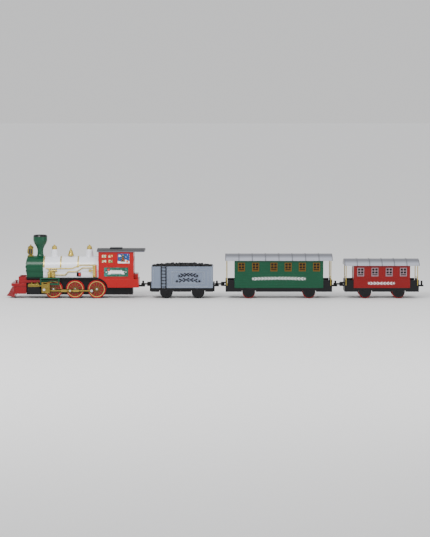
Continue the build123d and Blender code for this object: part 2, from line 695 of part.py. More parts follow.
def battery_cells():
    """Four AA cells, two by two, each with its terminal."""
    cells = []
    for row in (0, 1):
        for side in (-1, 1):
            y = side * (cell_radius + 0.1)
            z = chassis_floor + 0.8 + cell_radius + row * (2 * cell_radius + 0.1)
            x0 = battery_x + contact_depth
            tip = 1.2
            body = along_x(y, z, cell_radius, x0 + tip * (row == 0), x0 + cell_length - tip * (row == 1))
            nub = along_x(y, z, 2.7, x0, x0 + tip + 0.1) if row == 0 else along_x(
                y, z, 2.7, x0 + cell_length - tip - 0.1, x0 + cell_length)
            cells.append(body + nub)
    return Compound(cells)


def battery_contacts():
    """Spring-steel contact plates at both ends of the cells, with raised seats."""
    plates = []
    top = battery_top - 0.6
    for x, face in ((battery_x + 0.05, 1), (battery_x + battery_length - 0.05, -1)):
        for side in (-1, 1):
            y0, y1 = side * 1.0, side * (chassis_inner - 0.8)
            plate = block(x, x + face * 0.4, y0, y1, chassis_floor + 2.0, top)
            for row in (0, 1):
                z = chassis_floor + 0.8 + cell_radius + row * (2 * cell_radius + 0.1)
                plate += along_x(side * (cell_radius + 0.1), z, 2.2, x + face * 0.3, x + face * 0.75)
            plates.append(plate)
    return Compound(plates)


def pilot_wedge(back, low, high, half, inset):
    """The pilot's leaning wedge; an inset one is what hollows it from behind."""
    foot_z, head_z = low + 2 * inset, high - inset
    end_x, side = back + inset, half - inset
    foot = make_face(Polyline((1.3 * inset, 0, foot_z), (end_x, side, foot_z), (end_x, -side, foot_z),
                              close=True))
    head = make_face(Polyline((back - 5 + 1.3 * inset, 0, head_z), (end_x, side, head_z),
                              (end_x, -side, head_z),
                              close=True))
    return loft([foot, head])


def pilot():
    """The red pilot: a slatted wedge, the boxed deck behind it, and the beam under the smokebox."""
    low, high, half = 2.6, 22.5, 21.0
    back = pilot_length
    body = pilot_wedge(back, low, high, half, 0) - pilot_wedge(back, low, high, half, 1.8)
    for n in range(-4, 5):
        y = n * 4.2
        body -= block(-5, back - 1.8, y - 0.95, y + 0.95, low + 3.6, high - 2.4)
    deck_z = high + 4.4
    x1 = smokebox_x - 1.1
    body += block(back - 6, x1, -half, half, high - 0.2, deck_z)
    body += block(back - 1.8, back, -half, half, low, high + 0.5)
    body += block(x1 - 14, x1, -half + 3, half - 3, deck_z - 0.5, boiler_base + 1.4)
    body += block(x1 - 4, x1, -chassis_half, chassis_half, chassis_floor + 2, high)
    body -= block(x1 - 12, x1 - wall, -half + 4.6, half - 4.6, deck_z + 1.2, boiler_base + 3)
    # set-in side skirts, and rails that run back beside the chassis over the cylinders
    for side in (-1, 1):
        body += block(back - 1, x1, side * (half - 3.0), side * (half - 1.4), chassis_floor, high + 0.5)
        body += block(x1 - 2, x1 + 26, side * (chassis_half + 0.3), side * (chassis_half + 2.6),
                      deck_z + 1.4, deck_z + 6.2)
    # tongue into the chassis, and a coupling hook on the deck
    body += block(x1 - 0.5, smokebox_x + 3.0, -8.8, 8.8, chassis_floor + 4.2, chassis_top - 6.2)
    body += along_z(back + 1.5, 0, 1.8, deck_z - 0.3, deck_z + 3.0)
    return body + along_z(back + 1.5, 0, 3.0, deck_z + 2.8, deck_z + 4.4)


def cylinder_trims():
    """Gilt pieces of the motion: a ribbed steam-chest cover with two cocks, and the crosshead guide."""
    trims = []
    x0, x1 = cylinder_x - 0.6, cylinder_x + cylinder_length - 1.2
    y0, y1 = -cylinder_half - 0.3, -chassis_half - 0.3
    top = cylinder_top + 5.6
    gilt = block(x0, x1, y0, y1, cylinder_top + 0.05, top - 1.2)
    gilt += block(x0 + 1, x1 - 1, y0 + 1, y1 - 1, top - 1.3, top)
    for n in range(8):
        x = x0 + 1.2 + n * (x1 - x0 - 2.4) / 7
        gilt += block(x - 0.55, x + 0.55, y0 - 0.5, y0 + 0.3, cylinder_top + 0.3, top - 1.4)
    for x in (x0 + 6.4, x1 - 4.0):
        gilt += turned(x, (y0 + y1) / 2,
                       [(0, top - 0.2), (1.5, top - 0.2), (1.1, top + 1.6), (1.6, top + 2.2),
                                          (0.9, top + 3.0), (0, top + 3.0)])
    # arm and guide box outside the rods
    arm_z = cylinder_top + 1.2
    gilt += block(x1 - 4, guide_x + 1, -guide_outer, -cylinder_half + 1, arm_z, arm_z + 1.8)
    gx1 = guide_x + guide_length
    box = block(guide_x, gx1, -guide_outer, -guide_inner, 10.4, 29.4)
    box -= block(guide_x + 3.2, gx1 - 3.6, -guide_outer - 1, -guide_inner + 1, 26.6, 28.4)
    box -= block(guide_x + 4.0, gx1 - 1.4, -guide_outer - 1, -guide_outer + 0.7, 12.2, 24.6)
    box += along_y(guide_x + 4.5, 16.2, 3.4, -guide_outer - 0.9, -guide_inner)
    box += along_y(guide_x + 4.5, 16.2, 1.9, -guide_outer - 1.7, -guide_inner)
    for n in range(3):
        z = 19.4 + n * 2.2
        box += block(guide_x + 5.4, gx1 - 2.2, -guide_outer - 0.1, -guide_outer + 1, z, z + 0.9)
    gilt += box
    trims = both_sides(gilt)
    return Compound(trims)


def running_steps():
    """Green step frames that hang outside the running board over the front wheels."""
    x0, x1 = boiler_x - 4.9, boiler_x + 29.9
    y0, y1 = -step_outer, -step_inner
    top = boiler_base
    frame = block(x0, x1, y0, y1, top - 2.2, top)
    frame += block(x0, x1, y0, y1, top - 6.6, top - 4.8)
    frame += block(x0 + 14.6, x1, y0, y1, top - 12.9, top - 9.6)
    for x in (x0, x1 - 2.2):
        frame += block(x, x + 2.2, y0, y1, top - 12.9, top)
    frame += block(x0, x1, y0 + 0.2, -running_board_half, top - 1.6, top - 0.1)
    frame -= block(x0 - 1, x1 + 1, -running_board_half - 0.05, 0, 0, top + 1)
    return Compound(both_sides(frame))


def cab():
    """The red cab: four walls, a raised waist skirt, a locker on the footplate, and the wheel arches."""
    x0, x1 = cab_x, cab_end
    body = block(x0, x1, -cab_half, cab_half, cab_floor, cab_top)
    skirt = block(x0, loco_end, -cab_half - 0.5, cab_half + 0.5, cab_floor, cab_waist)
    skirt += block(x0, loco_end, -cab_half - 0.3, cab_half + 0.3, cab_waist - 0.5, cab_waist + 0.4)
    body += skirt + block(x1 - 0.5, loco_end - 1.6, -15, 15, cab_waist - 0.5, cab_waist + 9)
    body -= block(x0 + wall, x1 - wall, -cab_half + wall, cab_half - wall, cab_floor - 1, cab_top + 1)
    body -= block(x0 + wall, loco_end - wall, -cab_half + wall, cab_half - wall, cab_floor - 1,
                  cab_waist - wall)
    # mouth towards the boiler, and the room for the chassis and the hook
    body -= barrel_section(boiler_radius - 2.5, boiler_side_half - 2.5, boiler_base - 0.5, x0 - 1,
                           x0 + wall + 1)
    body -= block(x0 - 1, x0 + 5, -chassis_half - 0.3, chassis_half + 0.3, cab_floor - 1, boiler_base + 3.4)
    body -= block(loco_end - 5, loco_end + 1, -7, 7, cab_floor - 1, cab_floor + 5.4)
    body -= along_y(rear_axle_x, driver_radius, cab_arch_radius, -cab_half - 2, cab_half + 2)
    # windows: blind panes, and the raised borders of the plates
    for side in (-1, 1):
        for wx in (x0 + 6.4, x0 + 18.2):
            for wz in (cab_top - 10.2, cab_top - 19.2):
                body -= block(wx, wx + 8.0, side * (cab_half - 0.5), side * (cab_half + 1), wz, wz + 5.2)
        body -= block(x0 + 34.6, x0 + 56.0, side * (cab_half - 0.5), side * (cab_half + 1),
                      cab_top - 20.4, cab_top - 2.6)
        frame = block(x0 + 9.0, x0 + 54.8, side * (cab_half - 0.2), side * (cab_half + 0.5),
                      cab_waist + 4.0, cab_waist + 23.0)
        frame -= block(x0 + 10.2, x0 + 53.6, side * (cab_half - 2), side * (cab_half + 2),
                       cab_waist + 5.2, cab_waist + 21.8)
        body += frame
    # rear wall: door recess and two port holes
    body -= block(x1 - 0.5, x1 + 1, -8, 8, cab_waist + 1.5, cab_top - 10)
    for side in (-1, 1):
        body -= along_x(side * 16.5, cab_top - 14, 4.2, x1 - 0.5, x1 + 1)
        body -= along_x(side * 21.3, cab_top - 9.5, 2.6, x0 - 1, x0 + 0.5)
    return body


def arched_slab(x0, x1, half, bottom, fascia, rise):
    """A roof: flat below, upright edges, and one arc over the top."""
    edge = bottom + fascia
    section = Polyline((x0, -half, edge), (x0, -half, bottom), (x0, half, bottom), (x0, half, edge))
    section += ThreePointArc((x0, half, edge), (x0, 0, bottom + rise), (x0, -half, edge))
    return extrude(make_face(section), amount=x1 - x0, dir=(1, 0, 0))


def cab_roof():
    """The grey cab roof with its long rear overhang, a vent hatch, and a lip that drops inside the walls."""
    roof = arched_slab(cab_x - 2.6, cab_end + cab_roof_overhang, cab_roof_half, cab_top + 0.05, 1.9,
                       cab_roof_rise)
    inner = cab_half - wall - 0.3
    roof += block(cab_x + wall + 0.3, cab_end - wall - 0.3, -inner, inner, cab_top - 1.6, cab_top + 0.4)
    roof += block(cab_x + 20, cab_x + 42, -9, 9, cab_top + 2, cab_top + cab_roof_rise + 1.4)
    return roof - arched_slab(cab_end + 2, cab_end + cab_roof_overhang - 1.6, cab_roof_half - 2.0,
                              cab_top - 2, 2.4, cab_roof_rise + 0.4)


def switch_housing():
    """The black frame of the power switch in the boiler's left side, with a slot for the slider."""
    y0, y1 = -boiler_side_half - 0.5, -boiler_side_half + 5.0
    half_w, half_h = switch_width / 2, switch_height / 2
    case = block(switch_x - half_w, switch_x + half_w, y0, y1, switch_z - half_h, switch_z + half_h)
    case += block(switch_x - half_w - 0.8, switch_x + half_w + 0.8, -boiler_side_half + wall + 0.15, y1,
                  switch_z - half_h, switch_z + half_h + 0.8)
    return case - block(switch_x - half_w + 0.7, switch_x + half_w - 0.7, y0 - 1, y0 + 2.9,
                        switch_z - half_h + 1, switch_z + half_h - 1)


def switch_button():
    """The red slider; it rests at the rear end of its slot."""
    x1 = switch_x + switch_width / 2 - 0.8
    x0 = x1 - (switch_width - 1.6 - switch_travel)
    y0 = -boiler_side_half - 1.1
    half = switch_height / 2 - 1.1
    button = block(x0, x1, y0, y0 + 3.4, switch_z - half, switch_z + half)
    for n in range(2):
        x = x0 + 0.8 + n * 1.1
        button -= block(x, x + 0.4, y0 - 1, y0 + 0.3, switch_z - half - 1, switch_z + half + 1)
    return button


def sound_board():
    """The circuit board in the boiler: a plate with the sound chip, two capacitors and a connector."""
    z = boiler_base + 1.2
    x0 = boiler_x + 8
    board = block(x0, x0 + 42, -12, 12, z, z + 1.4)
    board += block(x0 + 16, x0 + 26, -5, 5, z + 1.3, z + 3.2)
    board += block(x0 + 34, x0 + 40, -9, 9, z + 1.3, z + 6.5)
    for y in (-7.5, 7.5):
        board += along_z(x0 + 8, y, 2.5, z + 1.3, z + 8.5)
    return board


def speaker():
    """The loudspeaker in the smokebox, facing down: frame, cone and magnet."""
    x, z = smokebox_x + 16, boiler_base + 0.3
    return turned(x, 0, [(0, z + 1.4), (3.4, z + 1.4), (11.0, z + 0.2), (12.4, z), (13.0, z), (13.0, z + 1.6),
                         (11.2, z + 2.2), (7.6, z + 5.4), (7.4, z + 9.2), (0, z + 9.2)])


def loco_screws():
    """Cover screws and the battery door's screw: cross-slotted heads with plain shanks."""
    screws = []
    places = [(x, y, chassis_floor - 1.3) for x, y in cover_screws()]
    places.append((battery_x + battery_length + wall - 4.2, 0, chassis_floor - 1.5))
    for n, (x, y, z) in enumerate(places):
        door = n == len(places) - 1
        shank = 1.9 if door else 7.0
        screw = along_z(x, y, 2.3, z, z + 0.55) + along_z(x, y, screw_radius * 0.78, z + 0.4, z + 0.5 + shank)
        screw -= block(x - 1.5, x + 1.5, y - 0.25, y + 0.25, z - 1, z + 0.3)
        screw -= block(x - 0.25, x + 0.25, y - 1.5, y + 1.5, z - 1, z + 0.3)
        screws.append(screw)
    return Compound(screws)


# ---- wagons
def wagon_frame(x0, length, axle_xs, platforms):
    """A wagon's black frame: deck, sole bars, end pieces, axle guards, drawbar clevis and rear hook."""
    x1 = x0 + length
    floor, top = deck_top - sole_bar_depth, deck_top - 0.05
    frame = block(x0, x1, -frame_half + 0.2, frame_half - 0.2, deck_top - deck_thick, top)
    for y in (-frame_half, frame_half - 2.0):
        frame += block(x0, x1, y, y + 2.0, floor, top)
    frame += platform_walls(x0, x1, floor) if platforms else end_pockets(x0, x1, floor)
    well = wagon_wheel_radius + 1.0
    for x in axle_xs:
        for side in (-1, 1):
            frame -= block(x - well, x + well, side * (wheel_inner - pass_gap), side * guard_inner, 0,
                           deck_top + 1)
    for x in axle_xs:
        for side in (-1, 1):
            frame += axle_guard(x, side)
        reach = frame_half + guard_thick - 0.4
        frame -= along_y(x, wagon_wheel_radius, wagon_axle_radius + run_gap, -reach, reach)
    return frame + clevis(x0, platforms) + hook(x1, platforms)


def platform_walls(x0, x1, floor):
    """The balustrades round a coach's two platforms, notched at the outer corners for the posts."""
    walls = []
    for end, inward in ((x0, 1), (x1, -1)):
        walls.append(block(end, end + inward * (wall + 1.2), -frame_half, frame_half, floor, balustrade_top))
        for y in (-frame_half, frame_half - wall):
            walls.append(block(end, end + inward * platform_length, y, y + wall, deck_top - 0.5,
                               balustrade_top))
    notches = [block(x - post_notch, x + post_notch, side * (frame_half - 2.0), side * (frame_half + 1),
                     post_foot, balustrade_top + 1)
               for x in (x0 + post_inset, x1 - post_inset) for side in (-1, 1)]
    return cut(joined(walls), notches)


def end_pockets(x0, x1, floor):
    """The blocks that stand out at both ends of the tender, each with a slot for its coupling."""
    blocks = []
    for end, outward in ((x0, -1), (x1, 1)):
        blocks.append(block(end - outward * 2.0, end + outward * 3.0, -15, 15, floor, deck_top - 1))
        blocks.append(block(end + outward * 0.15, end + outward * 3.0, -15, 15, deck_top - 2,
                            coupling_height + 4.5))
        blocks.append(block(end - outward * 2.0, end - outward * 0.1, -11, 11, floor, deck_top - 0.05))
    slots = [block(end + outward * 1.4, end + outward * 4.0, -7.2, 7.2, floor + 3, coupling_height + 6)
             for end, outward in ((x0, -1), (x1, 1))]
    return cut(joined(blocks), slots)


def axle_guard(x, side):
    """A half-round guard outside a wheel, with its axle box and leaf spring."""
    y0, y1 = side * guard_inner, side * (frame_half + guard_thick)
    z = wagon_wheel_radius
    top = deck_top - 0.05
    guard_radius = wagon_wheel_radius - 0.3
    centre_z = guard_radius + rim_shown
    guard = along_y(x, centre_z, guard_radius, y0, y1)
    guard -= block(x - 20, x + 20, side * 10, side * 40, top, top + 20)
    guard += block(x - guard_radius, x + guard_radius, y0, y1, centre_z, top)
    guard += block(x - 15.5, x + 15.5, y0, y1, top - 4.6, top)
    for step in (-1, 1):
        guard += block(x + step * 12.6, x + step * 15.5, side * (frame_half - 1.5), y1, top - 4.6, top)
    proud = side * (frame_half + guard_thick + 0.9)
    guard += block(x - 3.0, x + 3.0, y1 - side * 0.3, proud, z - 3.2, z + 3.0)
    for n, half in enumerate((7.6, 6.2, 4.8)):
        low = z + 3.9 + 0.95 * (2 - n)
        guard += block(x - half, x + half, y1 - side * 0.3, y1 + side * 0.5, low, low + 0.7)
    return guard + block(x - 0.8, x + 0.8, y1 - side * 0.3, y1 + side * 0.7, z + 2.8, top - 0.3)


def clevis(x0, platforms):
    """Two ears with a vertical pin that hold the drawbar in front; the tender's stand on a plate."""
    ears = []
    px = x0 - clevis_reach
    low = coupling_height - 0.4
    high = coupling_height + drawbar_thick + 0.4
    for z in (low - ear_thick, high):
        ears.append(block(px, x0 + 1.0, -3.4, 3.4, z, z + ear_thick))
        ears.append(along_z(px, 0, 3.4, z, z + ear_thick))
    ears.append(along_z(px, 0, clevis_pin_radius, low - 0.5, high + 0.5))
    back = block(x0, x0 + 2.8, -5.0, 5.0, deck_top - 2, high + ear_thick)
    if not platforms:
        back = block(x0 - 1.1, x0 - 0.15, -6, 6, deck_top - 4, high + ear_thick)
        back += block(x0 - 1.1, x0 + 2.0, -6, 6, deck_top - 5, deck_top - 1)
        ears = [e & block(px - 9, x0 - 0.2, -9, 9, 0, 60) for e in ears]
    return joined([back] + ears)


def hook(x1, platforms):
    """A tongue with an upright pin at a wagon's rear, for the next vehicle's drawbar."""
    start = x1 - 2.0 if platforms else x1 + 0.15
    tongue = block(start, x1 + hook_reach, -3.6, 3.6, tongue_top - 2.6, tongue_top)
    tongue += along_z(x1 + hook_reach, 0, hook_pin_radius + 2.0, tongue_top - 2.6, tongue_top)
    tongue += along_z(x1 + hook_reach, 0, hook_pin_radius, tongue_top - 0.5, tongue_top + hook_pin_height)
    if not platforms:
        tongue += block(x1 + 0.15, x1 + 1.6, -6, 6, deck_top - 4, tongue_top)
        tongue += block(x1 - 2.0, x1 + 1.6, -6, 6, deck_top - 5, deck_top - 1)
    return tongue


def drawbar(x0):
    """The bar from the hook pin ahead to the clevis at x0: an eye at each end."""
    back_x = x0 - clevis_reach
    front_x = back_x - drawbar_centres
    z0, z1 = coupling_height, coupling_height + drawbar_thick
    bar = block(front_x, back_x, -2.2, 2.2, z0, z1)
    bar += along_z(front_x, 0, hook_pin_radius + 2.0, z0, z1)
    bar += along_z(back_x, 0, clevis_pin_radius + 1.9, z0, z1)
    bar -= along_z(front_x, 0, hook_pin_radius + hook_slack, z0 - 1, z1 + 1)
    return bar - along_z(back_x, 0, clevis_pin_radius + run_gap, z0 - 1, z1 + 1)


def tender_body():
    """The grey coal bin: open-topped, with a rolled rim, corner posts and a framed panel on each side."""
    x0, x1 = tender_x, tender_x + tender_length
    body = block(x0, x1, -body_half, body_half, deck_top, tender_top)
    body = fillet(body.edges().filter_by(Axis.Z), 1.6)
    body -= block(x0 + wall, x1 - wall, -body_half + wall, body_half - wall, deck_top - 1, tender_top + 1)
    rim = block(x0, x1, -body_half - 0.5, body_half + 0.5, tender_top - 1.8, tender_top)
    rim = fillet(rim.edges().filter_by(Axis.Z), 1.6)
    rim -= block(x0 + wall, x1 - wall, -body_half + wall, body_half - wall, tender_top - 5, tender_top + 1)
    foot = block(x0, x1, -body_half - 0.5, body_half + 0.5, deck_top, deck_top + 1.8)
    foot = fillet(foot.edges().filter_by(Axis.Z), 1.6)
    foot -= block(x0 + wall, x1 - wall, -body_half + wall, body_half - wall, deck_top - 1, deck_top + 5)
    body += rim + foot
    for side in (-1, 1):
        for inset, width in ((-6.4, 0.6), (0.0, 0.9), (2.6, 0.6)):
            a, b = x0 + 36.0 + inset, x1 - 15.0 - inset
            c, d = deck_top + 7.0 + inset * 0.7, tender_top - 9.0 - inset * 0.7
            line = block(a, b, side * (body_half - 0.3), side * (body_half + 0.45), c, d)
            line -= block(a + width, b - width, side * 10, side * 40, c + width, d - width)
            body += line
        for x in (x0 + 3.2, x1 - 3.4):
            body += block(x, x + 1.0, side * (body_half - 0.3), side * (body_half + 0.4), deck_top + 1,
                          tender_top - 1)
    return body


def coal_load():
    """The coal moulding: a tray-like block inside the bin with a heaped top."""
    gap = wall + 0.3
    x0, x1 = tender_x + gap, tender_x + tender_length - gap
    half = body_half - gap
    low, level = tender_top - 12.0, tender_top - 3.2
    load = block(x0, x1, -half, half, low, level)
    heap = plate_xz([(x0 + 2, level - 1), (x0 + 16, level + 2.0), (x0 + 40, level + 4.4),
                     (x1 - 40, level + 4.4),
                     (x1 - 16, level + 2.4), (x1 - 2, level - 1)], -half + 3, half - 3)
    load += heap
    return load - block(x0 + wall, x1 - wall, -half + wall, half - wall, low - 1, level - 2.4)


def tender_ladders():
    """A black ladder on each side, clipped over the rim."""
    x0 = tender_x + 16.9
    width = 10.2
    y0, y1 = -body_half - 1.7, -body_half - 0.55
    ladder = None
    for x in (x0, x0 + width - 1.7):
        rail = block(x, x + 1.7, y0, y1, deck_top - 0.2, tender_top + 0.5)
        ladder = rail if ladder is None else ladder + rail
    pitch = (tender_top - deck_top - 4.0) / 6
    for n in range(7):
        z = deck_top + 1.6 + n * pitch
        ladder += block(x0 + 1, x0 + width - 1, y0 + 0.2, y1, z, z + 1.1)
    for x in (x0, x0 + width - 1.7):
        clip = block(x, x + 1.7, y1 - 0.4, -body_half + wall + 0.2, tender_top + 0.05, tender_top + 1.2)
        clip += block(x, x + 1.7, y0, y1, tender_top - 1, tender_top + 1.2)
        ladder += clip
    return Compound(both_sides(ladder))


def window_centres(x0, body_length, count):
    """Middles of a coach's windows: an even row, with a wider post after the second one on a long coach."""
    first = x0 + platform_length + 12.3
    last = x0 + platform_length + body_length - 12.3
    if count < 6:
        return [first + n * (last - first) / (count - 1) for n in range(count)]
    extra = 7.4
    pitch = (last - first - extra) / (count - 1)
    return [first + n * pitch + (extra if n > 1 else 0) for n in range(count)]


def coach_body(x0, body_length, eave, windows, boards):
    """A coach's body: four boarded walls with window openings and a doorway recess at each end."""
    a, b = x0 + platform_length, x0 + platform_length + body_length
    body = block(a, b, -body_half, body_half, deck_top, eave)
    grooves = []
    if boards == "level":
        count = int((eave - deck_top - 3) / 3.05)
        for n in range(count):
            z = deck_top + 2.6 + n * 3.05
            ring = block(a - 1, b + 1, -body_half - 1, body_half + 1, z, z + 0.45)
            grooves.append(ring - block(a + 0.3, b - 0.3, -body_half + 0.3, body_half - 0.3, z - 1, z + 2))
    else:
        waist = deck_top + 15.2
        ring = block(a - 1, b + 1, -body_half - 1, body_half + 1, waist, waist + 0.5)
        grooves.append(ring - block(a + 0.35, b - 0.35, -body_half + 0.35, body_half - 0.35, waist - 1,
                                    waist + 2))
        count = int(body_length / 6.3)
        for n in range(1, count):
            x = a + n * body_length / count
            for side in (-1, 1):
                grooves.append(block(x - 0.22, x + 0.22, side * (body_half - 0.3), side * (body_half + 1),
                                     waist, eave + 1))
    body = cut(body, grooves)
    body -= block(a + wall, b - wall, -body_half + wall, body_half - wall, deck_top - 1, eave + 1)
    half_w, half_h = window_width / 2, window_height / 2
    z = eave - window_drop - half_h
    for x in windows:
        body -= block(x - half_w, x + half_w, -body_half - 1, body_half + 1, z - half_h, z + half_h)
    for start in (a - 1, b - 0.5):
        body -= block(start, start + 1.5, -8.5, 8.5, deck_top + 2, eave - 4)
    return body


def window_strips(x0, body_length, eave, windows):
    """The window mouldings: a strip inside each wall, with a framed block of blind panes in every opening."""
    a, b = x0 + platform_length + wall + 0.3, x0 + platform_length + body_length - wall - 0.3
    half_w, half_h = window_width / 2 - seat_gap, window_height / 2 - seat_gap
    z = eave - window_drop - window_height / 2
    y_in, y_out = -body_half + wall + 0.05, -body_half - window_proud
    strip = block(a, b, y_in, y_in + 1.0, z - half_h - 2.0, z + half_h + 1.2)
    edge, bar, sill, slot_h = 1.2, 1.1, 1.7, 2.1
    pane_w = (2 * half_w - 2 * edge - bar) / 2
    pane_h = (2 * half_h - edge - sill - 2 * bar - slot_h) / 2
    for x in windows:
        frame = block(x - half_w, x + half_w, y_out, y_in + 0.2, z - half_h, z + half_h)
        low = z - half_h + sill
        frame -= pane_pocket(x, low + slot_h / 2, 2 * (half_w - edge), slot_h, y_out)
        for row in range(2):
            pane_z = low + slot_h + bar + pane_h / 2 + row * (pane_h + bar)
            for column in (-1, 1):
                frame -= pane_pocket(x + column * (bar + pane_w) / 2, pane_z, pane_w, pane_h, y_out)
        strip += frame
    return Compound(both_sides(strip))


def pane_pocket(x, z, width, height, y_face):
    """What cuts one blind pane, with rounded corners, into a window block's outer face."""
    pocket = block(x - width / 2, x + width / 2, y_face - 1, y_face + window_depth, z - height / 2,
                   z + height / 2)
    return fillet(pocket.edges().filter_by(Axis.Y), 0.9)


def coach_roof(x0, body_length, eave, panels):
    """A coach's grey roof: one arc over upright edges, with raised seams, hollow below inside the walls."""
    length = body_length + 2 * platform_length
    bottom = eave + 0.05
    roof = arched_slab(x0 - 0.6, x0 + length + 0.6, roof_half, bottom, roof_fascia, roof_rise)
    a, b = x0 + platform_length + wall + 0.3, x0 + platform_length + body_length - wall - 0.3
    lip = body_half - wall - 0.3
    hollow = arched_slab(a + 2, b - 2, lip - 2, bottom - 1, roof_fascia + 0.4, roof_rise - 1.4)
    roof -= hollow
    rim = block(a, b, -lip, lip, bottom - 1.4, bottom + 0.2)
    roof += rim - block(a + 2, b - 2, -lip + 2, lip - 2, bottom - 3, bottom + 1)
    for n in range(1, panels):
        x = x0 + n * length / panels
        seam = arched_slab(x - seam_half, x + seam_half, roof_half + seam_proud, bottom + 0.3,
                           roof_fascia - 0.1, roof_rise + seam_proud)
        roof += seam - arched_slab(x - 1, x + 1, roof_half - 0.8, bottom - 1, roof_fascia - 0.2,
                                   roof_rise + 0.1)
    return roof


def coach_posts(x0, body_length, eave):
    """Gilt posts with a hand rail at each platform, from notches in the balustrades up to the roof."""
    length = body_length + 2 * platform_length
    foot = post_foot + 0.05
    y = frame_half - 0.85
    rails = []
    for x in (x0 + post_inset, x0 + length - post_inset):
        rail = along_y(x, balustrade_top + 4, 0.7, -y, y)
        for side in (-1, 1):
            rail += along_z(x, side * y, 0.8, foot, eave) + along_z(x, side * y, 1.1, foot, foot + 1.0)
        rails.append(rail)
    return Compound(rails)


def wagon_axles(x0, length, wheelbase):
    middle = x0 + length / 2
    return [middle - wheelbase / 2, middle + wheelbase / 2]


# ---- the list of nodes
def locomotive_nodes():
    return {
        "loco_chassis": chassis(),
        "underside_cover": underside_cover(),
        "battery_cover": battery_cover(),
        "battery_cells": battery_cells(),
        "battery_contacts": battery_contacts(),
        "boiler_shell": boiler_shell(),
        "smokebox": smokebox(),
        "smokebox_door": smokebox_door(),
        "chimney": chimney(),
        "headlight_housing": headlight_housing(),
        "headlight_lens": headlight_lens(),
        "headlight_bulb": headlight_bulb(),
        "pilot": pilot(),
        "steam_domes": steam_domes(),
        "dome_caps": dome_caps(),
        "bell": bell(),
        "boiler_bands": boiler_bands(),
        "left_pipework": pipework(),
        "right_pipework": right_pipework(),
        "running_steps": running_steps(),
        "cylinder_trims": cylinder_trims(),
        "cab": cab(),
        "cab_roof": cab_roof(),
        "switch_housing": switch_housing(),
        "switch_button": switch_button(),
        "sound_board": sound_board(),
        "speaker": speaker(),
        "motor": motor(),
        "motor_pinion": motor_pinion(),
        "reduction_gear": reduction_gear(),
        "axle_gear": axle_gear(),
        "front_drivers": driver_pair(driver_xs[0], "screw"),
        "middle_drivers": driver_pair(driver_xs[1], "plain"),
        "rear_drivers": driver_pair(driver_xs[2], "screw"),
        "left_side_rod": side_rod(-1),
        "right_side_rod": side_rod(1),
        "loco_screws": loco_screws(),
    }


def tender_nodes():
    axles = wagon_axles(tender_x, tender_length, tender_wheelbase)
    return {
        "tender_body": tender_body(),
        "coal_load": coal_load(),
        "tender_ladders": tender_ladders(),
        "tender_frame": wagon_frame(tender_x, tender_length, axles, platforms=False),
        "tender_front_wheels": wagon_pair(axles[0]),
        "tender_rear_wheels": wagon_pair(axles[1]),
        "tender_drawbar": drawbar(tender_x),
    }


def coach_nodes(name, x0, body_length, wheelbase, eave, windows, boards, panels):
    length = body_length + 2 * platform_length
    axles = wagon_axles(x0, length, wheelbase)
    centres = window_centres(x0, body_length, windows)
    return {
        name + "_body": coach_body(x0, body_length, eave, centres, boards),
        name + "_windows": window_strips(x0, body_length, eave, centres),
        name + "_roof": coach_roof(x0, body_length, eave, panels),
        name + "_posts": coach_posts(x0, body_length, eave),
        name + "_frame": wagon_frame(x0, length, axles, platforms=True),
        name + "_front_wheels": wagon_pair(axles[0]),
        name + "_rear_wheels": wagon_pair(axles[1]),
        name + "_drawbar": drawbar(x0),
    }


def main():
    nodes = locomotive_nodes()
    nodes.update(tender_nodes())
    nodes.update(coach_nodes("green_coach", green_x, green_body_length, green_wheelbase, green_eave, 6,
                             "level", 8))
    nodes.update(coach_nodes("red_coach", red_x, red_body_length, red_wheelbase, red_eave, 4, "upright", 6))
    os.makedirs("parts", exist_ok=True)
    to_origin = Pos(-train_length / 2, 0, 0)
    for name, shape in nodes.items():
        export_step(to_origin * shape, f"parts/{name}.step")


main()
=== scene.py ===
"""The toy train's looks: finishes, the details on its mouldings, and a studio to see it in."""
import bpy
import math
import random
from mathutils import Euler, Matrix, Vector


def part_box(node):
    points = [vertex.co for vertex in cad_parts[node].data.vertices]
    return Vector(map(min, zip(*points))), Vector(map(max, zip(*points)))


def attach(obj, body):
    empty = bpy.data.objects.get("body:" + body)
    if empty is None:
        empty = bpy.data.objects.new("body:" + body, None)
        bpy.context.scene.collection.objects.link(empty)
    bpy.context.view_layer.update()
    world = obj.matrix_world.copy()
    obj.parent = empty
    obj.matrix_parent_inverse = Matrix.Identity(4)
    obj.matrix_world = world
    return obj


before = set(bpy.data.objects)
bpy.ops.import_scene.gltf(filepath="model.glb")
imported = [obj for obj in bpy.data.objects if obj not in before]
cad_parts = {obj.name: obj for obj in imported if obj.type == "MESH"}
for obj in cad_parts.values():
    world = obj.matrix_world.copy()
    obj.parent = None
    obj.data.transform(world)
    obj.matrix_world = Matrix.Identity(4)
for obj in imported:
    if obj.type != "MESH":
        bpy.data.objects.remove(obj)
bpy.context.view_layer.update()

MM = 0.001

# ---- sizes shared with the mouldings, in millimetres
wheel_face = 22.0           # outer faces of the wheels, from the middle plane
driver_tread = 15.5
dish_depth = 1.3
axle_radius = 1.5
cab_wall = 26.0
sticker_depth = 0.5
coach_wall = 24.0           # of the coaches and the tender, from the middle plane
pane_floor = 23.4           # the floors of the coach windows' panes
rod_flat = 23.8             # the flat of the side rods, below their raised ribs
bolt_offset = 29.1          # the crosshead bolt, from the front of the gilt motion pieces
bolt_height = 16.2
roof_overhang = 0.6         # of a coach roof beyond its platforms
roof_panels = {"green_coach_roof": 8, "red_coach_roof": 6}
eave_highlight_height = 5.5           # of the painted highlight along a coach roof's eaves, above its lower edge
eave_highlight_fade = 4.5            # the height over which that painted highlight deepens to the crown's grey
seam_line = 0.8             # half the width of a roof seam's dark line
wagon_tread = 10.3
wagon_axle_radius = 1.25
chimney_shade_rim = 3.0           # the black rim of painted shade, down from the chimney's top
cab_roof_highlight = 3.55        # the painted highlight along the cab roof's lower edge, up from that edge
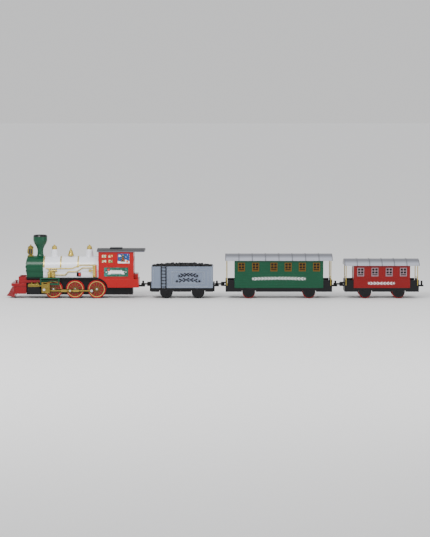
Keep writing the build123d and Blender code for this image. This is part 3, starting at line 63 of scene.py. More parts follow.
window_columns = (6.4, 18.2)    # the cab's small windows, back from its front edge
window_rows = (10.2, 19.2)      # their lower edges, down from the cab's top
window_size = (8.0, 5.2)
picture_corner = (34.8, 20.2)   # the larger picture's lower front corner, back and down
picture_size = (21.0, 17.4)
plaque_span = (10.2, 53.6)      # the plaque's two ends, back from the cab's front edge
plaque_rows = (19.7, 36.3)      # its lower and upper edges, up from the cab's lower edge
strip_start = 94.2              # the valve stand's red strip, back from the boiler's front
strip_size = (1.8, 21.6)

# ---- sizes of the printed and applied details, in millimetres
print_thick = 0.25          # of the garlands' leaves
paper = 0.35                # of the cab's plaque and its ribbon
picture_thick = 0.3         # of the cab's pictures, beyond their sunk beds

# ---- colours, as linear red, green and blue
BLACK = (0.004, 0.004, 0.005)
COAL = (0.004, 0.004, 0.005)
GREEN = (0.000, 0.056, 0.023)
WHITE = (0.80, 0.81, 0.86)
CAB_RED = (0.350, 0.000, 0.001)
# painted shade: a darker copy of the cab's red for the pilot, low under the smokebox
PILOT_SHADED_RED = (0.230, 0.000, 0.003)
WHEEL_RED = (0.360, 0.000, 0.003)
# painted shade: the darker red inside the wheels' gilt rings, in their dishes
WHEEL_DISH_SHADE = (0.200, 0.000, 0.002)
COACH_RED = (0.185, 0.000, 0.001)
GILT = (0.520, 0.390, 0.085)
OLIVE = (0.110, 0.070, 0.008)
WORN_GILT = (0.230, 0.165, 0.030)
ROOF_GREY = (0.105, 0.108, 0.130)
# a painted highlight: the pale band along the coach roofs' eaves
ROOF_EAVE_HIGHLIGHT = (0.350, 0.365, 0.420)
ROOF_SEAM = (0.045, 0.046, 0.058)
ROOF_DARK = (0.012, 0.012, 0.014)
TENDER_GREY = (0.165, 0.200, 0.270)
AMBER = (0.140, 0.066, 0.003)
PALE_FRAME = (0.280, 0.180, 0.205)
ROD_GILT = (0.340, 0.230, 0.045)
STEEL = (0.620, 0.620, 0.640)
NATURAL = (0.750, 0.720, 0.620)
BOARD = (0.010, 0.120, 0.050)
PLAQUE = (0.003, 0.065, 0.038)
TEAL = (0.008, 0.150, 0.130)
NIGHT = (0.008, 0.050, 0.200)
STAR = (0.700, 0.450, 0.030)


# ---- shared node groups
def new_group(name, inputs, outputs):
    """An empty shader group with named sockets; each is (name, type, default)."""
    group = bpy.data.node_groups.new(name, "ShaderNodeTree")
    for label, kind, default in inputs:
        socket = group.interface.new_socket(name=label, in_out="INPUT", socket_type=kind)
        if default is not None:
            socket.default_value = default
    for label, kind in outputs:
        group.interface.new_socket(name=label, in_out="OUTPUT", socket_type=kind)
    return group, group.nodes.new("NodeGroupInput"), group.nodes.new("NodeGroupOutput")


def maths(tree, operation, a, b=None):
    """A maths node; a and b are sockets or numbers."""
    node = tree.nodes.new("ShaderNodeMath")
    node.operation = operation
    for socket, value in zip(node.inputs, (a, b)):
        if isinstance(value, (int, float)):
            socket.default_value = value
        elif value is not None:
            tree.links.new(value, socket)
    return node.outputs[0]


def mixed(tree, share, a, b):
    """A colour between a and b; each is a socket or a colour."""
    node = tree.nodes.new("ShaderNodeMix")
    node.data_type = "RGBA"
    share_in, a_in, b_in = node.inputs[0], node.inputs[6], node.inputs[7]
    for socket, value in ((share_in, share), (a_in, a), (b_in, b)):
        if isinstance(value, bpy.types.NodeSocket):
            tree.links.new(value, socket)
        elif isinstance(value, tuple):
            socket.default_value = (*value, 1)
        else:
            socket.default_value = value
    return node.outputs[2]


def make_moulding_group():
    """Moulded plastic: a cloudy colour, an uneven gloss, fine grain, edges rounded by the mould, and a
    painted highlight along those edges.
    """
    group, start, end = new_group(
        "moulding",
        [("Color", "NodeSocketColor", (0.5, 0.5, 0.5, 1)),
         ("Edge Color", "NodeSocketColor", (0.8, 0.8, 0.8, 1)),
         ("Edge Radius", "NodeSocketFloat", 0.0004), ("Edge Strength", "NodeSocketFloat", 0.3),
         ("Roughness", "NodeSocketFloat", 0.3), ("Cloud", "NodeSocketFloat", 0.08),
         ("Grain Size", "NodeSocketFloat", 900.0), ("Grain Height", "NodeSocketFloat", 0.00002)],
        [("Color", "NodeSocketColor"), ("Roughness", "NodeSocketFloat"), ("Normal", "NodeSocketVector"),
         ("Edge", "NodeSocketFloat")])
    nodes, links = group.nodes, group.links
    place = nodes.new("ShaderNodeTexCoord").outputs["Object"]
    cloud = nodes.new("ShaderNodeTexNoise")
    cloud.inputs["Scale"].default_value = 45.0
    cloud.inputs["Detail"].default_value = 4.0
    links.new(place, cloud.inputs["Vector"])
    grain = nodes.new("ShaderNodeTexNoise")
    grain.inputs["Detail"].default_value = 3.0
    links.new(place, grain.inputs["Vector"])
    links.new(start.outputs["Grain Size"], grain.inputs["Scale"])
    # where the rounded normal leaves the flat one, there is an edge
    rounded = nodes.new("ShaderNodeBevel")
    rounded.samples = 6
    links.new(start.outputs["Edge Radius"], rounded.inputs["Radius"])
    flat = nodes.new("ShaderNodeNewGeometry").outputs["Normal"]
    facing = nodes.new("ShaderNodeVectorMath")
    facing.operation = "DOT_PRODUCT"
    links.new(rounded.outputs[0], facing.inputs[0])
    links.new(flat, facing.inputs[1])
    away = maths(group, "SUBTRACT", 1.0, facing.outputs["Value"])
    edge = maths(group, "MINIMUM", maths(group, "MULTIPLY", away, 5.0), 1.0)
    # a painted highlight along the edges, patchy with the clouds
    patchy = maths(group, "MULTIPLY", edge, maths(group, "ADD", cloud.outputs[0], 0.3))
    share = maths(group, "MULTIPLY", patchy, start.outputs["Edge Strength"])
    # darker and lighter clouds in the colour
    drift = maths(group, "MULTIPLY", maths(group, "SUBTRACT", cloud.outputs[0], 0.5), start.outputs["Cloud"])
    lift = nodes.new("ShaderNodeHueSaturation")
    links.new(maths(group, "ADD", 1.0, maths(group, "MULTIPLY", drift, 2.0)), lift.inputs["Value"])
    links.new(start.outputs["Color"], lift.inputs["Color"])
    links.new(mixed(group, share, lift.outputs[0], start.outputs["Edge Color"]), end.inputs["Color"])
    rough = maths(group, "ADD", start.outputs["Roughness"], drift)
    links.new(maths(group, "ADD", rough, maths(group, "MULTIPLY", grain.outputs[0], 0.06)),
              end.inputs["Roughness"])
    bump = nodes.new("ShaderNodeBump")
    bump.inputs["Strength"].default_value = 1.0
    links.new(maths(group, "MULTIPLY", grain.outputs[0], start.outputs["Grain Height"]),
              bump.inputs["Height"])
    bump.inputs["Distance"].default_value = 1.0
    links.new(rounded.outputs[0], bump.inputs["Normal"])
    links.new(bump.outputs[0], end.inputs["Normal"])
    links.new(edge, end.inputs["Edge"])
    return group


def make_disc_group():
    """A mask that is 1 inside a radius about a line along Y through (X, Z)."""
    group, start, end = new_group(
        "disc_mask", [("X", "NodeSocketFloat", 0.0), ("Z", "NodeSocketFloat", 0.0),
                      ("Radius", "NodeSocketFloat", 0.01)],
        [("Inside", "NodeSocketFloat"), ("Distance", "NodeSocketFloat")])
    parts = group.nodes.new("ShaderNodeSeparateXYZ")
    group.links.new(group.nodes.new("ShaderNodeTexCoord").outputs["Object"], parts.inputs[0])
    dx = maths(group, "SUBTRACT", parts.outputs["X"], start.outputs["X"])
    dz = maths(group, "SUBTRACT", parts.outputs["Z"], start.outputs["Z"])
    square = maths(group, "ADD", maths(group, "MULTIPLY", dx, dx), maths(group, "MULTIPLY", dz, dz))
    distance = maths(group, "SQRT", square)
    group.links.new(maths(group, "LESS_THAN", distance, start.outputs["Radius"]), end.inputs["Inside"])
    group.links.new(distance, end.inputs["Distance"])
    return group


moulding = make_moulding_group()
disc_mask = make_disc_group()


# ---- materials
def use_group(tree, group, **values):
    """A shared group in a material; the values are sockets, numbers or colours."""
    node = tree.nodes.new("ShaderNodeGroup")
    node.node_tree = group
    for name, value in values.items():
        socket = node.inputs[name.replace("_", " ")]
        if isinstance(value, bpy.types.NodeSocket):
            tree.links.new(value, socket)
        else:
            socket.default_value = (*value, 1) if isinstance(value, tuple) else value
    return node


def plastic(name, colour, roughness=0.3, highlight_colour=None, highlight_strength=0.35, edge_radius=0.35, metallic=0.0,
            cloud=0.08, grain=900.0, grain_height=0.02, coat=0.0, specular=0.25, paint=None):
    """A moulded finish, with a painted highlight along its edges. paint, if given, takes the tree and returns
    the base colour socket.
    """
    material = bpy.data.materials.new(name)
    material.use_nodes = True
    tree = material.node_tree
    shader = tree.nodes["Principled BSDF"]
    base = paint(tree) if paint else colour
    # the painted highlight's colour: paler than the base colour unless given
    pale = highlight_colour or tuple(min(1.0, c * 1.5 + 0.06) for c in colour)
    look = use_group(tree, moulding, Color=base, Edge_Color=pale, Edge_Radius=edge_radius * MM,
                     Edge_Strength=highlight_strength, Roughness=roughness, Cloud=cloud, Grain_Size=grain,
                     Grain_Height=grain_height * MM)
    tree.links.new(look.outputs["Color"], shader.inputs["Base Color"])
    tree.links.new(look.outputs["Roughness"], shader.inputs["Roughness"])
    tree.links.new(look.outputs["Normal"], shader.inputs["Normal"])
    shader.inputs["Metallic"].default_value = metallic
    shader.inputs["Specular IOR Level"].default_value = specular
    shader.inputs["Coat Weight"].default_value = coat
    shader.inputs["Coat Roughness"].default_value = 0.08
    return material


def object_part(tree, letter):
    """The object coordinate along one axis."""
    parts = tree.nodes.new("ShaderNodeSeparateXYZ")
    tree.links.new(tree.nodes.new("ShaderNodeTexCoord").outputs["Object"], parts.inputs[0])
    return parts.outputs[letter]


def paint_above(low_colour, high_colour, height):
    """Two colours that meet at a height, in metres."""
    def paint(tree):
        return mixed(tree, maths(tree, "GREATER_THAN", object_part(tree, "Z"), height), low_colour,
                     high_colour)
    return paint


def paint_outside(deep_colour, face_colour, distance):
    """Two colours that meet at a distance from the middle plane, in millimetres, as on a raised face."""
    def paint(tree):
        beyond = maths(tree, "ABSOLUTE", object_part(tree, "Y"))
        return mixed(tree, maths(tree, "GREATER_THAN", beyond, distance * MM), deep_colour, face_colour)
    return paint


def paint_disc(colour, disc_colour, x, z, radius):
    """A colour with a disc of another about (x, z), in metres."""
    def paint(tree):
        spot = use_group(tree, disc_mask, X=x, Z=z, Radius=radius)
        return mixed(tree, spot.outputs["Inside"], colour, disc_colour)
    return paint


def paint_roof(start, pitch, eave):
    """A roof's grey: a painted highlight up to the eave that deepens to the plain grey over the crown, and
    dark along every seam; in metres.
    """
    def paint(tree):
        along = maths(tree, "DIVIDE", maths(tree, "SUBTRACT", object_part(tree, "X"), start), pitch)
        off_seam = maths(tree, "MULTIPLY", maths(tree, "PINGPONG", along, 0.5), pitch)
        seam = maths(tree, "LESS_THAN", off_seam, seam_line * MM)
        climb = maths(tree, "DIVIDE", maths(tree, "SUBTRACT", object_part(tree, "Z"), eave), eave_highlight_fade * MM)
        rise = maths(tree, "MINIMUM", maths(tree, "MAXIMUM", climb, 0.0), 1.0)
        # the painted highlight along the eaves, fading to the crown's grey above them
        panel = mixed(tree, rise, ROOF_EAVE_HIGHLIGHT, ROOF_GREY)
        return mixed(tree, maths(tree, "MULTIPLY", seam, 0.7), panel, ROOF_SEAM)
    return paint


def wheel_finish(name, centre_x, centre_z, tread, rings, spoke_colour, body_colour, dish_shade_colour):
    """A wheel pair's finish: red tyre, gilt ring, dull gold spokes, a darker red inside the ring as painted
    shade in the dish, and steel for axle and crank pins.
    """
    def paint(tree):
        beyond = maths(tree, "ABSOLUTE", object_part(tree, "Y"))
        ring = use_group(tree, disc_mask, X=centre_x, Z=centre_z, Radius=(tread - 2.3) * MM)
        far = ring.outputs["Distance"]
        proud = maths(tree, "GREATER_THAN", beyond, (wheel_face - dish_depth + 0.35) * MM)
        spokes = maths(tree, "MULTIPLY", proud, ring.outputs["Inside"])
        # inside the ring the dish is painted darker: painted shade in the recess
        colour = mixed(tree, ring.outputs["Inside"], body_colour, dish_shade_colour)
        colour = mixed(tree, maths(tree, "MULTIPLY", spokes, rings), colour, spoke_colour)
        inner = maths(tree, "GREATER_THAN", far, (tread - 2.5) * MM)
        outer = maths(tree, "LESS_THAN", far, (tread - 1.5) * MM)
        gilt = maths(tree, "MULTIPLY", maths(tree, "MULTIPLY", inner, outer), rings)
        outside = maths(tree, "GREATER_THAN", beyond, (wheel_face - 1.5) * MM)
        colour = mixed(tree, maths(tree, "MULTIPLY", gilt, outside), colour, GILT)
        axle = maths(tree, "LESS_THAN", far, (axle_radius + 0.03) * MM)
        pins = maths(tree, "GREATER_THAN", beyond, (wheel_face + 0.32) * MM)
        return mixed(tree, maths(tree, "MAXIMUM", axle, pins), colour, STEEL)
    return plastic(name, body_colour, roughness=0.22, coat=0.2, highlight_strength=0.25, paint=paint)


def wheel_steel(material, centre_x, centre_z, radius):
    """Makes the axle and the crank pins of a wheel's finish metallic."""
    tree = material.node_tree
    shader = tree.nodes["Principled BSDF"]
    beyond = maths(tree, "ABSOLUTE", object_part(tree, "Y"))
    hub = use_group(tree, disc_mask, X=centre_x, Z=centre_z, Radius=(radius + 0.03) * MM)
    pins = maths(tree, "GREATER_THAN", beyond, (wheel_face + 0.32) * MM)
    tree.links.new(maths(tree, "MAXIMUM", hub.outputs["Inside"], pins), shader.inputs["Metallic"])
    return material


black = plastic("black_moulding", BLACK, roughness=0.42, highlight_strength=0.5, highlight_colour=(0.06, 0.06, 0.07),
                grain=700.0)
green = plastic("green_moulding", GREEN, roughness=0.28, coat=0.15, highlight_colour=(0.01, 0.26, 0.12))
white = plastic("pearly_white_moulding", WHITE, roughness=0.24, coat=0.5, specular=0.5, highlight_strength=0.2,
                cloud=0.05)
cab_red = plastic("cab_red_moulding", CAB_RED, roughness=0.26, coat=0.15, highlight_colour=(0.80, 0.05, 0.04))
pilot_shaded_red = plastic("pilot_shaded_red_moulding", PILOT_SHADED_RED, roughness=0.25, coat=0.2, highlight_colour=(0.65, 0.03, 0.03))
coach_red = plastic("coach_red_moulding", COACH_RED, roughness=0.3, coat=0.12, highlight_colour=(0.50, 0.03, 0.03))
gilt = plastic("gilt_paint", GILT, roughness=0.27, metallic=0.85, highlight_colour=(0.95, 0.85, 0.45),
               highlight_strength=0.8)
lantern_gilt = plastic("lantern_gilt", WORN_GILT, roughness=0.3, metallic=0.6, highlight_colour=(0.70, 0.58, 0.24),
                       highlight_strength=0.7)
rod_gilt = plastic("rod_gilt", OLIVE, roughness=0.35, metallic=0.5, highlight_colour=(0.50, 0.38, 0.12),
                   highlight_strength=0.5, paint=paint_outside(BLACK, ROD_GILT, rod_flat + 0.1))
tender_grey = plastic("tender_grey", TENDER_GREY, roughness=0.33, coat=0.2, highlight_colour=(0.62, 0.66, 0.74),
                      highlight_strength=0.7, cloud=0.12, edge_radius=0.5)
amber = plastic("amber_frames", AMBER, roughness=0.4, highlight_colour=(0.55, 0.30, 0.04), highlight_strength=0.3,
                paint=paint_outside(BLACK, AMBER, pane_floor + 0.2))
pale = plastic("pale_frames", PALE_FRAME, roughness=0.35, highlight_colour=(0.75, 0.62, 0.66), highlight_strength=0.3,
               paint=paint_outside(BLACK, PALE_FRAME, pane_floor + 0.2))
steel = plastic("bright_steel", STEEL, roughness=0.25, metallic=1.0, highlight_colour=(0.9, 0.9, 0.9))
natural = plastic("natural_nylon", NATURAL, roughness=0.45)
brass = plastic("pinion_brass", (0.55, 0.38, 0.10), roughness=0.3, metallic=1.0)
cell_wrap = plastic("cell_wrap", (0.02, 0.03, 0.05), roughness=0.3, metallic=0.4)
board_green = plastic("circuit_board", BOARD, roughness=0.4)
coal = plastic("coal", COAL, roughness=0.5, grain=500.0, grain_height=0.3, highlight_strength=0.2, edge_radius=0.2,
               highlight_colour=(0.07, 0.07, 0.08))
knob_red = plastic("switch_red", (0.72, 0.008, 0.012), roughness=0.25, coat=0.4)
star_print = plastic("star_print", STAR, roughness=0.4, highlight_strength=0.1)
dark_glass = plastic("dark_panes", (0.004, 0.004, 0.005), roughness=0.12, coat=0.6, highlight_strength=0.1)
print_white = plastic("white_print", (0.80, 0.80, 0.80), roughness=0.45, highlight_strength=0.1, edge_radius=0.1)
print_black = plastic("black_print", (0.012, 0.012, 0.018), roughness=0.45, highlight_strength=0.1,
                      edge_radius=0.1)


def clear_plastic():
    """The lamp's lens."""
    material = bpy.data.materials.new("lens_clear")
    material.use_nodes = True
    shader = material.node_tree.nodes["Principled BSDF"]
    shader.inputs["Base Color"].default_value = (0.95, 0.97, 1.0, 1)
    shader.inputs["Transmission Weight"].default_value = 0.9
    shader.inputs["IOR"].default_value = 1.49
    grain = material.node_tree.nodes.new("ShaderNodeTexNoise")
    grain.inputs["Scale"].default_value = 300.0
    material.node_tree.links.new(
        maths(material.node_tree, "MULTIPLY", grain.outputs[0], 0.12), shader.inputs["Roughness"])
    return material


def dress(material, *nodes):
    """Gives CAD nodes a finish."""
    for node in nodes:
        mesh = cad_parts[node].data
        mesh.materials.clear()
        mesh.materials.append(material)


def dress_wheels():
    """The drivers' painted spokes and rims, and the wagons' plain wheels."""
    for name in ("front_drivers", "middle_drivers", "rear_drivers"):
        low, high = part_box(name)
        x, z = (low.x + high.x) / 2, (low.z + high.z) / 2
        finish = wheel_finish(name + "_finish", x, z, driver_tread, 1.0, OLIVE, WHEEL_RED, WHEEL_DISH_SHADE)
        dress(wheel_steel(finish, x, z, axle_radius), name)
    for wagon in ("tender", "green_coach", "red_coach"):
        for end in ("front", "rear"):
            name = f"{wagon}_{end}_wheels"
            low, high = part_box(name)
            x, z = (low.x + high.x) / 2, (low.z + high.z) / 2
            colour, dish = (BLACK, BLACK) if wagon == "tender" else (WHEEL_RED, WHEEL_DISH_SHADE)
            finish = wheel_finish(name + "_finish", x, z, wagon_tread, 0.0, OLIVE, colour, dish)
            dress(wheel_steel(finish, x, z, wagon_axle_radius), name)


def dress_frame():
    """Every CAD node's finish."""
    dress(black, "loco_chassis", "underside_cover", "battery_cover", "switch_housing", "tender_ladders",
          "tender_frame", "tender_drawbar", "green_coach_frame", "green_coach_drawbar", "red_coach_frame",
          "red_coach_drawbar")
    dress(green, "smokebox", "smokebox_door", "running_steps", "green_coach_body")
    dress(white, "boiler_shell", "steam_domes")
    dress(lantern_gilt, "headlight_housing")
    dress(gilt, "dome_caps", "bell", "boiler_bands", "left_pipework", "right_pipework",
          "green_coach_posts", "red_coach_posts")
    bolt_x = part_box("cylinder_trims")[0].x + bolt_offset * MM
    dress(plastic("motion_gilt", WORN_GILT, roughness=0.32, metallic=0.6, highlight_colour=(0.60, 0.48, 0.18),
                  highlight_strength=0.6, paint=paint_disc(WORN_GILT, STEEL, bolt_x, bolt_height * MM, 2.2 * MM)),
          "cylinder_trims")
    dress(rod_gilt, "left_side_rod", "right_side_rod")
    dress(cab_red, "cab")
    # the pilot's darker red is painted shade
    dress(pilot_shaded_red, "pilot")
    dress(coach_red, "red_coach_body")
    for roof, panels in roof_panels.items():
        low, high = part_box(roof)
        pitch = (high.x - low.x - 2 * roof_overhang * MM) / panels
        paint = paint_roof(low.x + roof_overhang * MM, pitch, low.z + eave_highlight_height * MM)
        dress(plastic(roof + "_finish", ROOF_GREY, roughness=0.3, coat=0.2, highlight_colour=(0.7, 0.71, 0.75),
                      highlight_strength=0.3, paint=paint), roof)
    dress(tender_grey, "tender_body")
    dress(coal, "coal_load")
    dress(amber, "green_coach_windows")
    dress(pale, "red_coach_windows")
    dress(steel, "battery_contacts", "loco_screws", "motor")
    dress(natural, "reduction_gear", "axle_gear", "headlight_bulb")
    dress(brass, "motor_pinion")
    dress(cell_wrap, "battery_cells")
    dress(board_green, "sound_board")
    dress(black, "speaker")
    dress(knob_red, "switch_button")
    dress(clear_plastic(), "headlight_lens")
    # the chimney's upper drum is painted black: painted shade at its top
    chimney_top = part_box("chimney")[1].z
    dress(plastic("chimney_finish", GREEN, roughness=0.28, coat=0.3, highlight_colour=(0.03, 0.34, 0.16),
                  paint=paint_above(GREEN, BLACK, chimney_top - chimney_shade_rim * MM)), "chimney")
    # the cab roof's grey lower band is a painted highlight along its glossy edge; above it the roof is dark
    roof_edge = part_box("cab_roof")[0].z + cab_roof_highlight * MM
    dress(plastic("cab_roof_finish", ROOF_GREY, roughness=0.35, highlight_strength=0.2,
                  paint=paint_above(ROOF_GREY, ROOF_DARK, roof_edge)), "cab_roof")
    dress_wheels()


# ---- modelling helpers
def deselect():
    """Leaves edit mode and clears the selection."""
    if bpy.context.object and bpy.context.object.mode != "OBJECT":
        bpy.ops.object.mode_set(mode="OBJECT")
    bpy.ops.object.select_all(action="DESELECT")


def edit_all():
    """Edit mode, with the whole mesh selected."""
    bpy.ops.object.mode_set(mode="EDIT")
    bpy.ops.mesh.select_all(action="SELECT")


def settle(piece):
    """Puts a piece's place, turn and size into its mesh."""
    deselect()
    piece.select_set(True)
    bpy.context.view_layer.objects.active = piece
    bpy.ops.object.transform_apply(location=True, rotation=True, scale=True)


def finish(piece, name, body, material, slot, smooth=None):
    """Names a piece, gives it its finish and puts it on its body."""
    piece.name = name
    piece.data.name = name
    settle(piece)
    if smooth:
        bpy.ops.object.shade_smooth_by_angle(angle=math.radians(smooth))
    piece.data.materials.clear()
    piece.data.materials.append(material)
    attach(piece, body)
    return piece


def block(low, high, edge, segments=2):
    """A block between two corners, its edges rounded."""
    deselect()
    centre = [(a + b) / 2 for a, b in zip(low, high)]
    size = [abs(b - a) for a, b in zip(low, high)]
    bpy.ops.mesh.primitive_cube_add(size=1, location=centre, scale=size)
    piece = bpy.context.object
    settle(piece)
    edit_all()
    bpy.ops.mesh.bevel(offset=edge, segments=segments, affect="EDGES")
    bpy.ops.object.mode_set(mode="OBJECT")
    return piece


def copied(piece, matrix):
    """A copy of a piece with a mesh of its own, moved by a matrix."""
    twin = piece.copy()
    twin.data = piece.data.copy()
    twin.data.transform(matrix)
    bpy.context.scene.collection.objects.link(twin)
    return twin


def joined(pieces):
    """Pieces joined into one."""
    deselect()
    for piece in pieces:
        piece.select_set(True)
    bpy.context.view_layer.objects.active = pieces[0]
    bpy.ops.object.join()
    return bpy.context.object


def other_side(piece):
    """A mirrored copy on the train's right side, its faces turned to point outwards again."""
    twin = copied(piece, Matrix.Scale(-1, 4, (0, 1, 0)))
    deselect()
    twin.select_set(True)
    bpy.context.view_layer.objects.active = twin
    edit_all()
    bpy.ops.mesh.flip_normals()
    bpy.ops.object.mode_set(mode="OBJECT")
    return twin


# ---- details
def coal_lumps():
    """Broken coal heaped on the load: one rough lump, copied at many sizes and turns."""
    chance = random.Random(7)
    deselect()
    bpy.ops.mesh.primitive_ico_sphere_add(subdivisions=2, radius=1.0)
    lump = bpy.context.object
    edit_all()
    bpy.ops.transform.vertex_random(offset=0.28, seed=3)
    bpy.ops.mesh.select_all(action="SELECT")
    bpy.ops.mesh.bevel(offset=0.06, segments=1, affect="EDGES")
    bpy.ops.object.mode_set(mode="OBJECT")
    low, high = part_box("coal_load")
    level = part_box("tender_body")[1].z - 2.4 * MM
    pieces = []
    across, along = 8, 21
    for row in range(across):
        for column in range(along):
            u = (column + 0.5 + chance.uniform(-0.35, 0.35)) / along
            v = (row + 0.5 + chance.uniform(-0.35, 0.35)) / across
            x = low.x + (high.x - low.x) * u
            y = low.y + (high.y - low.y) * v
            heap = 4.6 * MM * math.sin(math.pi * u) ** 0.5 * math.sin(math.pi * v) ** 0.6
            size = chance.uniform(2.2, 3.7) * MM
            turn = Euler([chance.uniform(0, 6.28) for _ in range(3)]).to_matrix().to_4x4()
            stretch = Matrix.Diagonal((size * chance.uniform(0.8, 1.25), size,
                                       size * chance.uniform(0.7, 1.0), 1))
            pieces.append(copied(lump, Matrix.Translation((x, y, level + heap)) @ turn @ stretch))
    bpy.data.objects.remove(lump)
    return finish(joined(pieces), "coal_lumps", "tender", coal, "coal_plastic")


def rivet():
    """A small round rivet head that faces -Y, at the origin."""
    deselect()
    bpy.ops.mesh.primitive_uv_sphere_add(segments=12, ring_count=8, radius=1.0)
    head = bpy.context.object
    edit_all()
    bpy.ops.mesh.bisect(plane_co=(0, 0, 0), plane_no=(0, 1, 0), use_fill=True, clear_outer=True)
    bpy.ops.object.mode_set(mode="OBJECT")
    return head


def rivets_at(name, places, radius, body, material, slot):
    """Rivets at (point, outward direction) pairs, joined as one piece."""
    head = rivet()
    pieces = []
    for point, outward in places:
        turn = Vector((0, -1, 0)).rotation_difference(Vector(outward)).to_matrix().to_4x4()
        size = Matrix.Diagonal((radius, radius * 0.7, radius, 1))
        pieces.append(copied(head, Matrix.Translation(point) @ turn @ size))
    bpy.data.objects.remove(head)
    return finish(joined(pieces), name, body, material, slot, smooth=40)


def smokebox_rivets():
    """Two arches of rivets, near the smokebox's ends."""
    low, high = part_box("smokebox")
    radius = (high.y - low.y) / 2
    axis_z = high.z - radius
    places = []
    for x in (low.x + 1.6 * MM, high.x - 1.6 * MM):
        for n in range(15):
            angle = math.radians(8 + n * (180 - 16) / 14)
            outward = Vector((0, math.cos(angle), math.sin(angle)))
            places.append((Vector((x, 0, axis_z)) + outward * radius, outward))
    return rivets_at("smokebox_rivets", places, 0.55 * MM, "locomotive", green, "green_plastic")


def leaf(length, width, thick, points=4):
    """A pointed leaf, or a berry of more points, that lies in the XZ plane and faces -Y, at the origin."""
    deselect()
    bpy.ops.mesh.primitive_circle_add(vertices=points, radius=0.5, fill_type="NGON",
                                      rotation=(math.radians(90), math.radians(90), 0))
    piece = bpy.context.object
    settle(piece)
    edit_all()
    bpy.ops.transform.resize(value=(length, 1, width))
    bpy.ops.mesh.bevel(offset=min(length, width) * 0.16, segments=2, affect="VERTICES")
    bpy.ops.mesh.extrude_region_move(TRANSFORM_OT_translate={"value": (0, thick, 0)})
    bpy.ops.mesh.select_all(action="SELECT")
    bpy.ops.mesh.normals_make_consistent(inside=False)
    bpy.ops.object.mode_set(mode="OBJECT")
    return piece


def crystal(size, thick):
    """A snow crystal: three crossed leaves, facing -Y at the origin."""
    one = leaf(size, size * 0.24, thick)
    arms = [copied(one, Matrix.Rotation(math.radians(60 * n), 4, "Y")) for n in range(3)]
    bpy.data.objects.remove(one)
    return joined(arms)


def garland(name, wall, centre, width, size, plump, arch, body, material, slot):
    """A garland of leaf pairs and berries in turn, with end crystals, on both sides of a wagon.

    In millimetres but for the centre: size is a leaf's length, plump its width as a share of that, and arch
    the garland's rise at its middle.
    """
    thick = print_thick * MM
    one = leaf(size * MM, size * plump * MM, thick)
    berry = leaf(size * plump * MM, size * plump * MM, thick, points=8)
    end = crystal(size * 1.15 * MM, thick)
    pieces = []

    def place(shape, u, lift, lean=0.0):
        x = centre[0] + u * width / 2 * MM
        z = centre[1] + (arch * (1 - u * u) + lift) * MM
        turn = Matrix.Rotation(math.radians(lean), 4, "Y")
        pieces.append(copied(shape, Matrix.Translation((x, -wall * MM - thick, z)) @ turn))

    steps = 2 * round(width / size / 2.5)
    for n in range(-steps, steps + 1):
        u = n / (steps + 1.5)
        if n % 2 == steps % 2:
            for up in (-1, 1):
                place(one, u, up * size * 0.27, lean=-math.copysign(34, u) * up + arch * u * 3)
        else:
            place(berry, u, 0.0)
    for u in (-1, 1):
        place(end, u, 0.0)
    for shape in (one, berry, end):
        bpy.data.objects.remove(shape)
    left = joined(pieces)
    finish(joined([left, other_side(left)]), name, body, material, slot)


def garlands():
    """One garland on each coach and two on the tender, where lettering would be."""
    low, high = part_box("green_coach_body")
    garland("green_coach_garland", coach_wall, ((low.x + high.x) / 2, low.z + 16.5 * MM), 92, 5.6, 0.38, 1.0,
            "green_coach", print_white, "white_plastic")
    low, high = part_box("red_coach_body")
    garland("red_coach_garland", coach_wall, ((low.x + high.x) / 2 - 1 * MM, low.z + 8.5 * MM), 44, 5.2, 0.38,
            0.0, "red_coach", print_white, "white_plastic")
    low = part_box("tender_body")[0]
    for row, height, width in (("upper", 21.6, 32), ("lower", 12.2, 40)):
        garland(f"tender_garland_{row}", coach_wall, (low.x + 66 * MM, low.z + height * MM), width, 7.0, 0.46,
                2.6, "tender", print_black, "black_plastic")


def printed(name, patches, scale, dark):
    """A printed paper finish: small patches of a few colours."""
    def paint(tree):
        cells = tree.nodes.new("ShaderNodeTexVoronoi")
        cells.inputs["Scale"].default_value = scale
        tree.links.new(tree.nodes.new("ShaderNodeTexCoord").outputs["Object"], cells.inputs["Vector"])
        ramp = tree.nodes.new("ShaderNodeValToRGB")
        ramp.color_ramp.interpolation = "CONSTANT"
        while len(ramp.color_ramp.elements) < len(patches):
            ramp.color_ramp.elements.new(0.5)
        for n, (element, colour) in enumerate(zip(ramp.color_ramp.elements, patches)):
            element.position = n / len(patches)
            element.color = (*colour, 1)
        pick = tree.nodes.new("ShaderNodeSeparateColor")
        tree.links.new(cells.outputs["Color"], pick.inputs[0])
        tree.links.new(pick.outputs[0], ramp.inputs[0])
        return ramp.outputs[0]
    return plastic(name, dark, roughness=0.25, coat=0.5, highlight_strength=0.0, cloud=0.05, paint=paint)


def cab_stickers():
    """Four small picture windows and a larger picture, on both sides of the cab."""
    low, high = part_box("cab")
    top, x0 = high.z, low.x
    deep = (cab_wall - sticker_depth) * MM
    pane = printed("picture_pane_print",
                   [(0.60, 0.45, 0.12), (0.75, 0.70, 0.55), (0.45, 0.02, 0.02), (0.10, 0.22, 0.05)],
                   420.0, (0.5, 0.4, 0.2))
    panes = []
    wide, tall = window_size
    for wx in window_columns:
        for wz in window_rows:
            panes.append(block((x0 + (wx + 0.2) * MM, -deep - picture_thick * MM, top - (wz - 0.2) * MM),
                               (x0 + (wx + wide - 0.2) * MM, -deep + 0.02 * MM, top - (wz - tall + 0.2) * MM),
                               0.12 * MM))
    both_sides(panes, "cab_window_pictures", pane, "white_plastic")
    winter_picture(x0 + picture_corner[0] * MM, top - picture_corner[1] * MM, -deep - picture_thick * MM)


